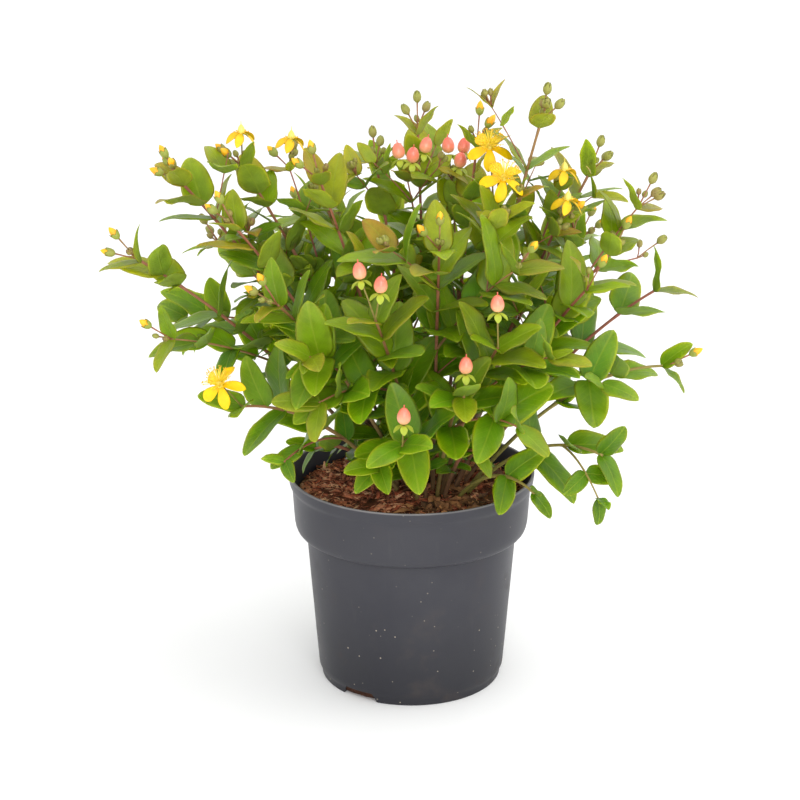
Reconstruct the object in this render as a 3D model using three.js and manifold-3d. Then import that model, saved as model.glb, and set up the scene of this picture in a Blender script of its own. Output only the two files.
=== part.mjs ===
// A garden St John's wort in its nursery pot: leafy stems that fan out of a bark compost,
// with coral berries, yellow flowers and buds. Millimetres, +Z up, origin under the pot's middle.
import * as THREE from "three";
import { mergeVertices } from "three/addons/utils/BufferGeometryUtils.js";
import Module from "manifold-3d";

const wasm = await Module();
wasm.setup();

// Driving dimensions of the pot, [radius, height] up the outside and down the inside
const POT_OUTSIDE = [
  [70, 0], [72.4, 8], [76.5, 60], [81.2, 117.6], [84, 120], [88.6, 122.8],
  [91, 132], [95, 165.4],
];
const POT_LIP = [[94.3, 167], [92.8, 167]];
const POT_INSIDE = [[90.6, 153], [88.2, 133], [79, 116], [69.6, 2.4]];
const POT_SIDES = 24;
const NOTCH = { height: 7.5, width: 34, taper: 5, inner: 60, outer: 80 };
const NOTCH_AZIMUTHS = [-35, -97, 104, 166];

// The compost
const SOIL_TOP = 152;
const SOIL_SIDE = [116, 132, 148];
const SOIL_RINGS = [0.8, 0.45];
const SEAT_GAP = 0.35;
const HOLE_FLOOR = 139;
const HOLE_RADIUS = 3.2;
const HOLE_DEPTH = 40;

// The plant
const CROWN = new THREE.Vector3(16, 6, 156);
const CROWN_SPREAD = { least: 4, more: 27 };
const STEM_RADIUS = 1.7;
const STEM_TAPER = 0.45;
const TWIG_RADIUS = 1.0;
const STALK_RADIUS = 0.6;
const STALK_SIDES = 3;
const LEAF_THICKNESS = 0.8;
const LEAF_WIDTH = 0.5;
const ROOT_WIDTH = 2.4;
const PAIR_SPACING = 44;
const LAST_PAIR = 0.98;
const BERRY = { radius: 5, height: 13, core: 2.4, coreRadius: 4.4 };
const OVARY = [[0, -3], [2.8, -0.8], [2.4, 2.4], [0.6, 4.5], [0, 8]];
const BUD = {
  radius: 2.9, length: 9.5, widest: 0.45, point: 0.4, reach: 20, sideReach: 14, stagger: 2, spread: 0.75,
};

// Each pair's own draws, as [least, spread]: angles in degrees, the rest as shares of the leaf
const DRAWS = {
  swing: [-12, 24], lift: [16, 16], length: [0.9, 0.2], slim: [0.92, 0.16],
  droop: [0.1, 0.16], fold: [0.18, 0.2], sway: [-0.07, 0.14],
};
const LIFT_TO_TIP = 26;
const LARGEST = { share: 0.4, fall: 0.9 };
const LEAF_RISE = 0.16;

// What leaves keep clear of: the rest of the plant, the pot's rim and the compost inside it
const CLEAR = 0.5;
const OWN_STEM = 8;
const OWN_TWIN = 4;
const RIM_ZONE = { inner: 86, outer: 99, above: 1.6 };
const SOIL_ZONE = { radius: 98, above: 6 };

// Each leafy shoot: [name, tip x, y, z, arch above the straight line, bare part, leaf length, turn, buds]
const STEMS = [
  ["upper_left", -171, 0, 394, 26, 0.24, 46, 20, 4],
  ["left_top", -126, 15, 402, 22, 0.26, 41, 65, 2],
  ["mid_left_top", -67, -30, 402, 20, 0.26, 45, 80, 2],
  ["mid_back_top", -27, 70, 392, 16, 0.26, 45, 35, 2],
  ["far_left", -202, -30, 343, 30, 0.21, 45, 85, 2],
  ["left_inner", -128, -50, 372, 26, 0.23, 45, 40, 2],
  ["lower_left", -123, -88, 248, 38, 0.2, 50, 5, 0],
  ["front_left_bud", -96, -90, 325, 30, 0.23, 48, 30, 2],
  ["berry_pair", -26, -118, 322, 22, 0.24, 52, 60, 0],
  ["berry_right", 60, -122, 303, 26, 0.24, 50, 12, 0],
  ["berry_low", 36, -138, 272, 34, 0.23, 48, 75, 0],
  ["berry_front", -7, -146, 238, 40, 0.22, 50, 25, 0],
  ["top_centre", 5, 75, 418, 10, 0.29, 43, 50, 3],
  ["top_right_inner", 49, 27, 418, 8, 0.29, 43, 0, 3],
  ["bloom_top", 60, -18, 383, 12, 0.26, 45, 45, 1],
  ["top_right", 94, -10, 441, 14, 0.29, 43, 5, 3],
  ["spent_right", 110, -6, 366, 18, 0.24, 45, 60, 1],
  ["right_back_top", 136, 50, 390, 20, 0.24, 45, 30, 3],
  ["right", 147, -22, 346, 26, 0.23, 50, 70, 1],
  ["right_side", 186, 12, 308, 34, 0.21, 50, 15, 0],
  ["far_right", 189, -32, 261, 48, 0.17, 43, 55, 1],
  ["trailing", 138, -98, 214, 40, 0.21, 48, 85, 0],
  ["rim_rosette", 88, -112, 190, 30, 0.29, 43, 40, 0],
  ["low_inner", -74, -12, 188, 26, 0.35, 32, 20, 0],
  ["low_front", -24, -106, 208, 34, 0.35, 46, 50, 0],
  ["low_front_right", 48, -100, 216, 30, 0.35, 46, 15, 0],
  ["front_fill", 19, -92, 366, 18, 0.26, 52, 10, 2],
  ["right_bud", 126, -72, 332, 26, 0.23, 48, 35, 1],
  ["back_left", -150, 92, 322, 34, 0.22, 50, 25, 2],
  ["back_mid_left", -86, 138, 330, 30, 0.23, 50, 70, 2],
  ["back_mid", -14, 166, 326, 28, 0.23, 50, 10, 2],
  ["back_mid_right", 64, 154, 336, 26, 0.23, 50, 55, 2],
  ["back_right", 134, 112, 322, 30, 0.22, 50, 5, 2],
];

// Side shoots: [stem they leave, where along it, then the same values as a stem]
const SIDE_SHOOTS = [
  ["far_left", 0.45, -175, -62, 291, 8, 0.35, 39, 10, 1],
  ["left_top", 0.45, -92, 34, 396, 12, 0.3, 41, 10, 2],
  ["lower_left", 0.35, -92, -112, 214, 14, 0.4, 43, 50, 0],
  ["front_left_bud", 0.5, -72, -122, 296, 10, 0.3, 48, 75, 0],
  ["berry_pair", 0.5, -66, -128, 264, 16, 0.3, 48, 20, 0],
  ["berry_right", 0.5, 96, -122, 296, 12, 0.3, 48, 60, 0],
  ["berry_low", 0.45, 74, -146, 252, 16, 0.3, 48, 30, 0],
  ["top_centre", 0.6, -3, 38, 386, 6, 0.4, 39, 15, 0],
  ["top_right_inner", 0.5, 31, 50, 384, 6, 0.35, 45, 20, 1],
  ["spent_right", 0.62, 112, 20, 384, 6, 0.4, 37, 70, 0],
  ["right", 0.7, 166, -16, 378, 6, 0.3, 39, 35, 3],
  ["far_right", 0.48, 138, -78, 262, 14, 0.3, 45, 60, 0],
  ["trailing", 0.7, 134, -120, 188, 12, 0.3, 43, 15, 0],
  ["front_fill", 0.55, 72, -98, 352, 12, 0.3, 50, 65, 1],
  ["back_left", 0.5, -176, 44, 276, 14, 0.3, 45, 80, 0],
  ["back_mid_left", 0.45, -112, 126, 252, 20, 0.3, 48, 30, 0],
  ["back_mid", 0.45, 22, 172, 246, 22, 0.3, 48, 45, 0],
  ["back_right", 0.45, 118, 146, 246, 20, 0.3, 48, 70, 0],
  ["right_back_top", 0.5, 176, 66, 318, 12, 0.3, 45, 20, 1],
];

// Berries: [name, shoot, x, y, z of the middle]
const BERRIES = [
  ["berry_1", "berry_pair", -37, -116, 357],
  ["berry_2", "berry_pair", -22, -126, 350],
  ["berry_3", "berry_right", 59, -125, 336],
  ["berry_4", "berry_low", 37, -141, 296],
  ["berry_5", "berry_front", -6, -150, 262],
  ["berry_6", "top_centre.2", -10, 38, 409],
  ["berry_7", "top_centre.2", 1, 28, 408],
  ["berry_8", "top_centre.2", 11, 44, 412],
  ["berry_9", "top_right_inner.2", 28, 58, 409],
  ["berry_10", "top_right_inner.2", 40, 52, 410],
  ["berry_11", "top_right_inner.2", 37, 38, 402],
];

// Open and spent flowers: [name, shoot, x, y, z, the way it faces]
const FLOWERS = [
  ["flower_left", "lower_left", -137, -100, 268, [-0.35, -0.8, 0.55]],
  ["flower_top", "bloom_top", 57, -4, 420, [-0.1, -0.75, 0.7]],
  ["flower_mid", "bloom_top", 66, -36, 404, [0.1, -0.75, 0.65]],
];
const SPENT_FLOWERS = [
  ["spent_left", "left_top", -126, 10, 430, [0, -0.1, 1]],
  ["spent_mid", "left_top.2", -90, 28, 422, [0.05, -0.1, 1]],
  ["spent_right_upper", "spent_right.2", 113, 5, 403, [0, -0.2, 1]],
  ["spent_right_lower", "spent_right", 114, -22, 387, [0.05, -0.2, 1]],
];

// What lies on the compost: dry leaves as [name, x, y, length, heading, colour], and a bare twig
const DRY_LEAVES = [
  ["dry_leaf_1", 58, -34, 30, 20, "#8a5a2c"],
  ["dry_leaf_2", 64, 34, 27, 100, "#7c4a22"],
  ["dry_leaf_3", 24, -58, 24, 200, "#a8702f"],
];
const DRY_LEAF = { root: 3, slim: 0.55, droop: -0.1, fold: 0.22, sway: 0.12 };
const DRY_TWIG = { name: "dry_twig", ends: [[34, -34], [82, -2]], radius: 1.1, sides: 3, rise: 2 };

// Outlines of blades, as [along, half width] of the length and width, from the root to the tip
const BROAD_LEAF = { rows: [[0.13, 0.66], [0.38, 1], [0.73, 0.62]], ribs: [false, true, true] };
const SMALL_LEAF = { rows: [[0.24, 0.94], [0.64, 0.76]], ribs: [true, false] };
const BROAD_FROM = 53;

// Stars of sepals or petals: the shoulders of an arm are [along, half width] of its reach and width
const CALYX = {
  arms: 5, reach: 8, width: 0, notch: 3.2, droop: 0.25, thick: 0.9, crown: 0.5, foot: 1, shoulder: 0,
};
const COROLLA = {
  arms: 5, reach: 18, width: 10, notch: 4.5, droop: 0.16, thick: 0.8, crown: 1.8, foot: 1, shoulder: 0.72,
};
const STAMENS = {
  arms: 7, reach: 9, width: 0, notch: 1.6, droop: -1.5, thick: 0.8, crown: 0.4, foot: 0.4, shoulder: 0,
};
const FADED = {
  arms: 3, reach: 11, width: 6, notch: 2.6, droop: 0.4, thick: 1, crown: 1, foot: 0.4, shoulder: 0.7,
};
const FADED_SEAT = 1;
const STYLE = { rise: 1.4, radius: 1, into: 0.2 };
const STAR_AXIS = new THREE.Vector3(0.3, 1, 0.2);
const STAR_HULL = { sides: 6, reach: 0.95, droop: 0.7 };

// How a leaf may bend to clear its neighbours: [degrees round the stem, degrees up the stem]
const BENDS = [
  [0, 0], [12, 0], [-12, 0], [0, 14], [0, -14], [22, 8], [-22, 8], [22, -10], [-22, -10],
  [0, 28], [0, -26], [34, 0], [-34, 0], [34, 20], [-34, 20], [46, 6], [-46, 6],
];
const SHRINKS = [1, 0.84, 0.7];

const UP = new THREE.Vector3(0, 0, 1);
const RADIAN = Math.PI / 180;

// A small seeded generator, so that the plant grows the same each time
function generator(seed) {
  let state = seed >>> 0;
  return () => {
    state = (state + 0x6d2b79f5) >>> 0;
    let t = state;
    t = Math.imul(t ^ (t >>> 15), t | 1);
    t ^= t + Math.imul(t ^ (t >>> 7), t | 61);
    return ((t ^ (t >>> 14)) >>> 0) / 4294967296;
  };
}

// A value drawn from [least, spread]
const drawn = ([least, spread], random) => least + spread * random();

// Solids
function solidOf(geometry) {
  const bare = geometry.clone();
  for (const name of ["normal", "uv"]) bare.deleteAttribute(name);
  const merged = mergeVertices(bare, 1e-4);
  return new wasm.Manifold(
    new wasm.Mesh({
      numProp: 3,
      vertProperties: merged.attributes.position.array,
      triVerts: new Uint32Array(merged.index.array),
    }),
  );
}

function geometryOf(solid) {
  const mesh = solid.getMesh();
  const geometry = new THREE.BufferGeometry();
  geometry.setAttribute("position", new THREE.BufferAttribute(mesh.vertProperties, 3));
  geometry.setIndex(new THREE.BufferAttribute(mesh.triVerts, 1));
  geometry.computeVertexNormals();
  return geometry;
}

function solidFromFaces(points, faces) {
  const geometry = new THREE.BufferGeometry().setFromPoints(points);
  geometry.setIndex(faces.flat());
  return solidOf(geometry);
}

const fuse = (solids) => solids.reduce((whole, piece) => whole.add(piece));

// A closed tube through points, with a radius at each, its ends flat
function tubeFaces(rings, sides) {
  const faces = [];
  for (let ring = 0; ring + 1 < rings; ring++) {
    for (let side = 0; side < sides; side++) {
      const next = (side + 1) % sides;
      const a = ring * sides + side;
      const b = ring * sides + next;
      faces.push([a, b, b + sides], [a, b + sides, a + sides]);
    }
  }
  const last = (rings - 1) * sides;
  for (let side = 1; side + 1 < sides; side++) {
    faces.push([0, side + 1, side], [last, last + side, last + side + 1]);
  }
  return faces;
}

const TUBE_AXIS = new THREE.Vector3(0.31, 0.95, 0.05);

function tube(points, radii, sides) {
  const rings = [];
  const across = TUBE_AXIS.clone();
  points.forEach((point, i) => {
    const before = points[Math.max(i - 1, 0)];
    const after = points[Math.min(i + 1, points.length - 1)];
    const along = after.clone().sub(before).normalize();
    const first = across.clone().addScaledVector(along, -across.dot(along)).normalize();
    const second = along.clone().cross(first);
    across.copy(first);
    for (let side = 0; side < sides; side++) {
      const angle = (side / sides) * 2 * Math.PI;
      rings.push(
        point.clone()
          .addScaledVector(first, Math.cos(angle) * radii[i])
          .addScaledVector(second, Math.sin(angle) * radii[i]),
      );
    }
  });
  return solidFromFaces(rings, tubeFaces(points.length, sides));
}

// A blade that grows from root along a direction, its upper face towards up
function bladeFrame(root, along, up) {
  const ahead = along.clone().normalize();
  const above = up.clone().addScaledVector(ahead, -up.dot(ahead)).normalize();
  return { root, ahead, above, side: above.clone().cross(ahead) };
}

function bladePoint(frame, form, s, across) {
  const { length, width, droop, fold, sway } = form;
  const rise = -droop * length * s * s + fold * width * 0.5 * Math.abs(across);
  return frame.root.clone()
    .addScaledVector(frame.ahead, length * s)
    .addScaledVector(frame.side, (width * across) / 2 + sway * length * s * s)
    .addScaledVector(frame.above, rise);
}

// The points of a blade's middle sheet, its root's two first, and the triangles of each face
function bladeSheet(frame, form, outline) {
  const points = [];
  const triangles = [];
  let before = null;
  const rows = [[0, form.root / form.width], ...outline.rows];
  rows.forEach(([s, half], i) => {
    const row = { left: points.length, right: points.length + 1, rib: null };
    points.push(bladePoint(frame, form, s, half), bladePoint(frame, form, s, -half));
    if (i && outline.ribs[i - 1]) row.rib = points.push(bladePoint(frame, form, s, 0)) - 1;
    if (before) triangles.push(...rowTriangles(before, row));
    row.before = before;
    before = row;
  });
  const tip = points.push(bladePoint(frame, form, 1, 0)) - 1;
  triangles.push(...tipTriangles(before, tip));
  const rim = [tip];
  for (let row = before; row; row = row.before) {
    rim.unshift(row.right);
    rim.push(row.left);
  }
  return { points, triangles, rim };
}

function rowTriangles({ left, right, rib }, row) {
  if (rib === null && row.rib === null) {
    return [[left, right, row.right], [left, row.right, row.left]];
  }
  if (rib === null) {
    return [[left, right, row.rib], [left, row.rib, row.left], [right, row.right, row.rib]];
  }
  if (row.rib === null) {
    return [[left, rib, row.left], [rib, row.right, row.left], [rib, right, row.right]];
  }
  return [
    [left, rib, row.rib], [left, row.rib, row.left],
    [rib, right, row.right], [rib, row.right, row.rib],
  ];
}

function tipTriangles(row, tip) {
  if (row.rib === null) return [[row.left, row.right, tip]];
  return [[row.left, row.rib, tip], [row.rib, row.right, tip]];
}

// Adds a blade's two faces and its rim to a surface. Its root is four corners that are there
// already, [upper left, upper right, lower left, lower right], or else it is closed like the rim.
function addBlade(surface, sheet, above, root) {
  const { points, faces } = surface;
  const layer = (offset, corners) => sheet.points.map((point, i) =>
    (root && i < 2 ? corners[i] : points.push(point.clone().addScaledVector(above, offset)) - 1));
  const top = layer(LEAF_THICKNESS / 2, root?.slice(0, 2));
  const under = layer(-LEAF_THICKNESS / 2, root?.slice(2));
  for (const [a, b, c] of sheet.triangles) {
    faces.push([top[a], top[b], top[c]], [under[a], under[c], under[b]]);
  }
  sheet.rim.forEach((a, i) => {
    if (root && i + 1 === sheet.rim.length) return;
    const b = sheet.rim[(i + 1) % sheet.rim.length];
    faces.push([top[a], under[a], under[b]], [top[a], under[b], top[b]]);
  });
}

// A star of arms round a middle, such as a calyx or a flower's petals
function starSolid(middle, facing, star) {
  const { arms, reach, width, notch, droop, thick, crown, foot, shoulder } = star;
  const across = STAR_AXIS.clone().cross(facing).normalize();
  const rim = [];
  for (let arm = 0; arm < arms; arm++) {
    const out = across.clone().applyAxisAngle(facing, (arm / arms) * 2 * Math.PI);
    const side = facing.clone().cross(out);
    const between = out.clone().applyAxisAngle(facing, Math.PI / arms);
    const at = (along, half) => middle.clone().addScaledVector(out, along)
      .addScaledVector(side, half).addScaledVector(facing, -droop * along * along / reach);
    if (shoulder) rim.push(at(reach * shoulder, -width / 2));
    rim.push(at(reach, 0));
    if (shoulder) rim.push(at(reach * shoulder, width / 2));
    rim.push(middle.clone().addScaledVector(between, notch));
  }
  const points = [
    middle.clone().addScaledVector(facing, crown),
    middle.clone().addScaledVector(facing, -foot),
    ...rim.map((point) => point.clone().addScaledVector(facing, thick / 2)),
    ...rim.map((point) => point.clone().addScaledVector(facing, -thick / 2)),
  ];
  const faces = [];
  rim.forEach((_, i) => {
    const [a, b] = [2 + i, 2 + ((i + 1) % rim.length)];
    const [c, d] = [a + rim.length, b + rim.length];
    faces.push([0, a, b], [1, d, c], [a, c, d], [a, d, b]);
  });
  return solidFromFaces(points, faces);
}

// A star's hull, one flat cone of triangles, for leaves to keep clear of
function starBody(node, middle, facing, star) {
  const across = STAR_AXIS.clone().cross(facing).normalize();
  const { sides, reach, droop } = STAR_HULL;
  const corners = Array.from({ length: sides }, (_, i) => {
    const out = across.clone().applyAxisAngle(facing, (i / sides) * 2 * Math.PI);
    return middle.clone()
      .addScaledVector(facing, -star.droop * star.reach * droop)
      .addScaledVector(out, star.reach * reach);
  });
  const triangles = corners.map((corner, i) =>
    new THREE.Triangle(middle, corner, corners[(i + 1) % sides]));
  return bodyOf(node, "bloom", triangles, star.thick / 2);
}

// Gaps between triangles, where a stem's stretch is a triangle with two corners alike
function segmentGap(a, b, c, d) {
  const u = b.clone().sub(a);
  const v = d.clone().sub(c);
  const w = a.clone().sub(c);
  const uu = Math.max(u.dot(u), 1e-9);
  const vv = Math.max(v.dot(v), 1e-9);
  const uv = u.dot(v);
  const uw = u.dot(w);
  const vw = v.dot(w);
  const clamp = (x) => Math.min(Math.max(x, 0), 1);
  const cross = uu * vv - uv * uv;
  let s = cross > 1e-9 ? clamp((uv * vw - uw * vv) / cross) : 0;
  const t = clamp((uv * s + vw) / vv);
  s = clamp((uv * t - uw) / uu);
  return w.addScaledVector(u, s).addScaledVector(v, -t).length();
}

const nearest = new THREE.Vector3();
const ray = new THREE.Ray();

function pierces(a, b, triangle) {
  ray.origin.copy(a);
  ray.direction.copy(b).sub(a);
  const length = ray.direction.length();
  if (length < 1e-6) return false;
  ray.direction.divideScalar(length);
  const hit = ray.intersectTriangle(triangle.a, triangle.b, triangle.c, false, nearest);
  return hit !== null && hit.distanceTo(a) <= length;
}

function triangleGap(one, two) {
  const first = [one.a, one.b, one.c];
  const second = [two.a, two.b, two.c];
  let gap = Infinity;
  for (let i = 0; i < 3; i++) {
    const a = first[i];
    const b = first[(i + 1) % 3];
    if (pierces(a, b, two) || pierces(second[i], second[(i + 1) % 3], one)) return 0;
    gap = Math.min(gap, two.closestPointToPoint(a, nearest).distanceTo(a));
    gap = Math.min(gap, one.closestPointToPoint(second[i], nearest).distanceTo(second[i]));
    for (let j = 0; j < 3; j++) {
      gap = Math.min(gap, segmentGap(a, b, second[j], second[(j + 1) % 3]));
    }
  }
  return gap;
}

// Everything that has grown so far, for the leaves that come after to keep clear of
const grown = [];

function bodyOf(node, kind, triangles, thick) {
  const ball = new THREE.Box3();
  for (const t of triangles) ball.expandByPoint(t.a).expandByPoint(t.b).expandByPoint(t.c);
  const sphere = ball.getBoundingSphere(new THREE.Sphere());
  return { node, kind, triangles, thick, sphere };
}

function sheetBody(node, kind, sheet, thick) {
  const triangles = sheet.triangles.map(
    ([a, b, c]) => new THREE.Triangle(sheet.points[a], sheet.points[b], sheet.points[c]),
  );
  return bodyOf(node, kind, triangles, thick);
}

function stretchBodies(node, kind, points, radii) {
  return points.slice(1).map((end, i) =>
    bodyOf(node, kind, [new THREE.Triangle(points[i], end, end)], Math.max(radii[i], radii[i + 1])),
  );
}

function isClear(body, root, partner) {
  for (const other of grown) {
    if (other === partner) continue;
    const own = other.node === body.node;
    if (own && other.kind === "stem" && other.sphere.distanceToPoint(root) < OWN_STEM) continue;
    if (own && other.root && other.root.distanceTo(root) < OWN_TWIN) continue;
    const need = body.thick + other.thick + CLEAR;
    if (body.sphere.center.distanceTo(other.sphere.center)
      > body.sphere.radius + other.sphere.radius + need) continue;
    for (const mine of body.triangles) {
      for (const theirs of other.triangles) {
        if (triangleGap(mine, theirs) < need) return false;
      }
    }
  }
  return true;
}

// Leaves stay off the lip and the compost, but may lean over the rim
function clearOfPot(body) {
  const top = POT_LIP[0][1];
  for (const triangle of body.triangles) {
    const corners = [triangle.a, triangle.b, triangle.c];
    for (let i = 0; i < 3; i++) {
      for (const share of [0, 0.25, 0.5, 0.75]) {
        const point = corners[i].clone().lerp(corners[(i + 1) % 3], share);
        const radius = Math.hypot(point.x, point.y);
        if (radius < SOIL_ZONE.radius && point.z < SOIL_TOP + SOIL_ZONE.above) return false;
        const overRim = radius > RIM_ZONE.inner && radius < RIM_ZONE.outer;
        if (overRim && point.z < top + RIM_ZONE.above) return false;
      }
    }
  }
  return true;
}

// The way a shoot runs: one plane arc from its base to its tip
function shootArc(base, tip, arch) {
  const control = base.clone().add(tip).multiplyScalar(0.5);
  control.z += arch;
  const plane = tip.clone().sub(base).cross(control.clone().sub(base)).normalize();
  return { base, control, tip, plane };
}

function arcPoint(arc, t) {
  const point = arc.base.clone().multiplyScalar((1 - t) * (1 - t));
  return point.addScaledVector(arc.control, 2 * t * (1 - t)).addScaledVector(arc.tip, t * t);
}

function arcTangent(arc, t) {
  const first = arc.control.clone().sub(arc.base).multiplyScalar(1 - t);
  return first.addScaledVector(arc.tip.clone().sub(arc.control), t).normalize();
}

function arcLength(arc) {
  const around = arc.base.distanceTo(arc.control) + arc.control.distanceTo(arc.tip);
  return (2 * arc.base.distanceTo(arc.tip) + around) / 3;
}

// Stems leave the crown on the side that they lean to, the outer ones further out
function stemBase(tip) {
  const lean = new THREE.Vector3(tip.x - CROWN.x, tip.y - CROWN.y, 0);
  const reach = lean.length();
  const slope = Math.atan2(reach, tip.z - CROWN.z);
  const out = CROWN_SPREAD.least + CROWN_SPREAD.more * slope;
  return CROWN.clone().addScaledVector(lean.normalize(), out);
}

function pairPlans(shoot) {
  const { arc, bare, leaf, turn, seed } = shoot;
  const random = generator(seed);
  const count = Math.max(2, Math.round((arcLength(arc) * (1 - bare)) / PAIR_SPACING));
  const plans = [];
  for (let pair = 0; pair < count; pair++) {
    const share = (pair + 1) / count;
    const t = Math.min(bare + (1 - bare) * share, LAST_PAIR);
    const size = leaf * (1 - LARGEST.fall * (share - LARGEST.share) ** 2);
    const angle = turn + drawn(DRAWS.swing, random);
    const leaves = [0, 180].map((half) => ({
      t,
      angle: angle + pair * 90 + half,
      lift: LIFT_TO_TIP * share + drawn(DRAWS.lift, random),
      length: size * drawn(DRAWS.length, random),
      slim: drawn(DRAWS.slim, random),
      droop: drawn(DRAWS.droop, random),
      fold: drawn(DRAWS.fold, random),
      sway: drawn(DRAWS.sway, random),
    }));
    plans.push({ t, quarter: pair % 2, angle, leaves });
  }
  return plans;
}

function leafPose(arc, plan, bend, shrink) {
  const tangent = arcTangent(arc, plan.t);
  const raised = tangent.clone().cross(arc.plane);
  const round = (plan.angle + bend[0]) * RADIAN;
  const lift = (plan.lift + bend[1]) * RADIAN;
  const outward = arc.plane.clone().multiplyScalar(Math.cos(round))
    .addScaledVector(raised, Math.sin(round));
  const along = outward.multiplyScalar(Math.cos(lift)).addScaledVector(tangent, Math.sin(lift));
  along.addScaledVector(UP, LEAF_RISE);
  const upper = tangent.clone().add(UP);
  const frame = bladeFrame(arcPoint(arc, plan.t), along, upper);
  const length = plan.length * shrink;
  const form = {
    length,
    root: ROOT_WIDTH,
    width: length * LEAF_WIDTH * plan.slim,
    droop: plan.droop,
    fold: plan.fold,
    sway: plan.sway,
  };
  return { frame, form };
}

function growLeaf(node, arc, plan, partner) {
  for (const shrink of SHRINKS) {
    for (const bend of BENDS) {
      const { frame, form } = leafPose(arc, plan, bend, shrink);
      const outline = form.length >= BROAD_FROM ? BROAD_LEAF : SMALL_LEAF;
      const sheet = bladeSheet(frame, form, outline);
      const body = sheetBody(node, "leaf", sheet, LEAF_THICKNESS / 2);
      body.root = frame.root;
      if (!clearOfPot(body) || !isClear(body, frame.root, partner)) continue;
      grown.push(body);
      return { body, sheet, above: frame.above };
    }
  }
  return null;
}

// Shoots in the order of the tables: a side shoot starts on its stem's arc
const shoots = new Map();

function addShoot(name, node, base, row, seed, radius) {
  const [x, y, z, arch, bare, leaf, turn, buds] = row;
  const arc = shootArc(base, new THREE.Vector3(x, y, z), arch);
  shoots.set(name, { name, node, arc, bare, leaf, turn, buds, seed, radius });
}

STEMS.forEach(([name, ...row], i) => {
  const tip = new THREE.Vector3(row[0], row[1], row[2]);
  addShoot(name, name, stemBase(tip), row, 101 + i, STEM_RADIUS);
});
SIDE_SHOOTS.forEach(([parent, where, ...row], i) => {
  addShoot(`${parent}.2`, parent, arcPoint(shoots.get(parent).arc, where), row, 501 + i, TWIG_RADIUS);
});

// The buds at a shoot's tip: the first goes straight on, the others leave from its sides
function budPlans(shoot) {
  const { arc, buds } = shoot;
  const bearing = [BERRIES, FLOWERS, SPENT_FLOWERS].some((rows) =>
    rows.some(([, name]) => name === shoot.name));
  const tangent = arcTangent(arc, 1).addScaledVector(UP, 0.5).normalize();
  const raised = tangent.clone().cross(arc.plane).normalize();
  const angle = shoot.pairs.at(-1).angle;
  return Array.from({ length: buds }, (_, bud) => {
    const i = bearing ? bud + 1 : bud;
    const round = (angle + 90 * (i - 1)) * RADIAN;
    const spread = i ? BUD.spread : 0;
    const along = tangent.clone()
      .addScaledVector(arc.plane, Math.cos(round) * spread)
      .addScaledVector(raised, Math.sin(round) * spread)
      .normalize();
    const reach = i ? BUD.sideReach + BUD.stagger * (i % 2) : BUD.reach;
    return { along, reach, side: i - 1 };
  });
}

// A bud's rings along its stalk: its foot, its widest part and its point
function budRings(start, { along, reach }) {
  const at = (distance) => start.clone().addScaledVector(along, distance);
  return [
    { centre: at(reach), radius: STALK_RADIUS },
    { centre: at(reach + BUD.length * BUD.widest), radius: BUD.radius },
    { centre: at(reach + BUD.length), radius: BUD.point },
  ];
}

// A shoot's rings, from its foot to its tip: four corners each, two rings close together at a pair
function shootRings(shoot) {
  const { arc, turn, radius, pairs } = shoot;
  const rings = [];
  const addRing = (t, angle, pair) => rings.push({
    centre: arcPoint(arc, t), tangent: arcTangent(arc, t), angle, pair,
    radius: radius * (1 - STEM_TAPER * t),
  });
  if (radius === STEM_RADIUS) {
    const foot = new THREE.Vector3(arc.base.x, arc.base.y, HOLE_FLOOR + SEAT_GAP);
    rings.push({ centre: foot, tangent: UP, angle: turn, pair: null, radius });
  }
  addRing(0, turn, null);
  const half = LEAF_THICKNESS / 2 / arcLength(arc);
  for (const pair of pairs) {
    addRing(pair.t - half, pair.angle, pair);
    addRing(pair.t + half, pair.angle, null);
  }
  addRing(1 - 2 * half, pairs.at(-1).angle, null);
  addRing(1, pairs.at(-1).angle, null);
  rings.at(-2).buds = true;
  for (const bud of budPlans(shoot).filter(({ side }) => side < 0)) {
    const rest = budRings(arc.tip, bud);
    rings.push(...rest.map((ring) => ({ ...ring, tangent: bud.along, angle: rings.at(-1).angle })));
  }
  return rings;
}

// The four corners of a ring round a stretch that runs along a direction
function ringCorners({ centre, tangent, angle, radius }, plane) {
  const across = plane.clone().addScaledVector(tangent, -plane.dot(tangent)).normalize();
  const raised = tangent.clone().cross(across);
  return [0, 1, 2, 3].map((corner) => {
    const round = (angle - 45 + 90 * corner) * RADIAN;
    return centre.clone()
      .addScaledVector(across, Math.cos(round) * radius)
      .addScaledVector(raised, Math.sin(round) * radius);
  });
}

// Adds a side bud to a surface, grown out of four corners that are there already, in turn
function addBud(surface, root, start, bud) {
  const { points, faces } = surface;
  const [foot, wide, point] = budRings(start, bud);
  const first = points[root[1]].clone().sub(points[root[0]]);
  let before = root;
  for (const ring of [foot, wide]) {
    const corners = ringCorners({ ...ring, tangent: bud.along, angle: 0 }, first);
    const now = corners.map((corner) => points.push(corner) - 1);
    now.unshift(now.pop());
    for (let i = 0; i < 4; i++) {
      const next = (i + 1) % 4;
      faces.push([before[i], before[next], now[next]], [before[i], now[next], now[i]]);
    }
    before = now;
  }
  const tip = points.push(point.centre) - 1;
  for (let i = 0; i < 4; i++) faces.push([before[i], before[(i + 1) % 4], tip]);
}

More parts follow.
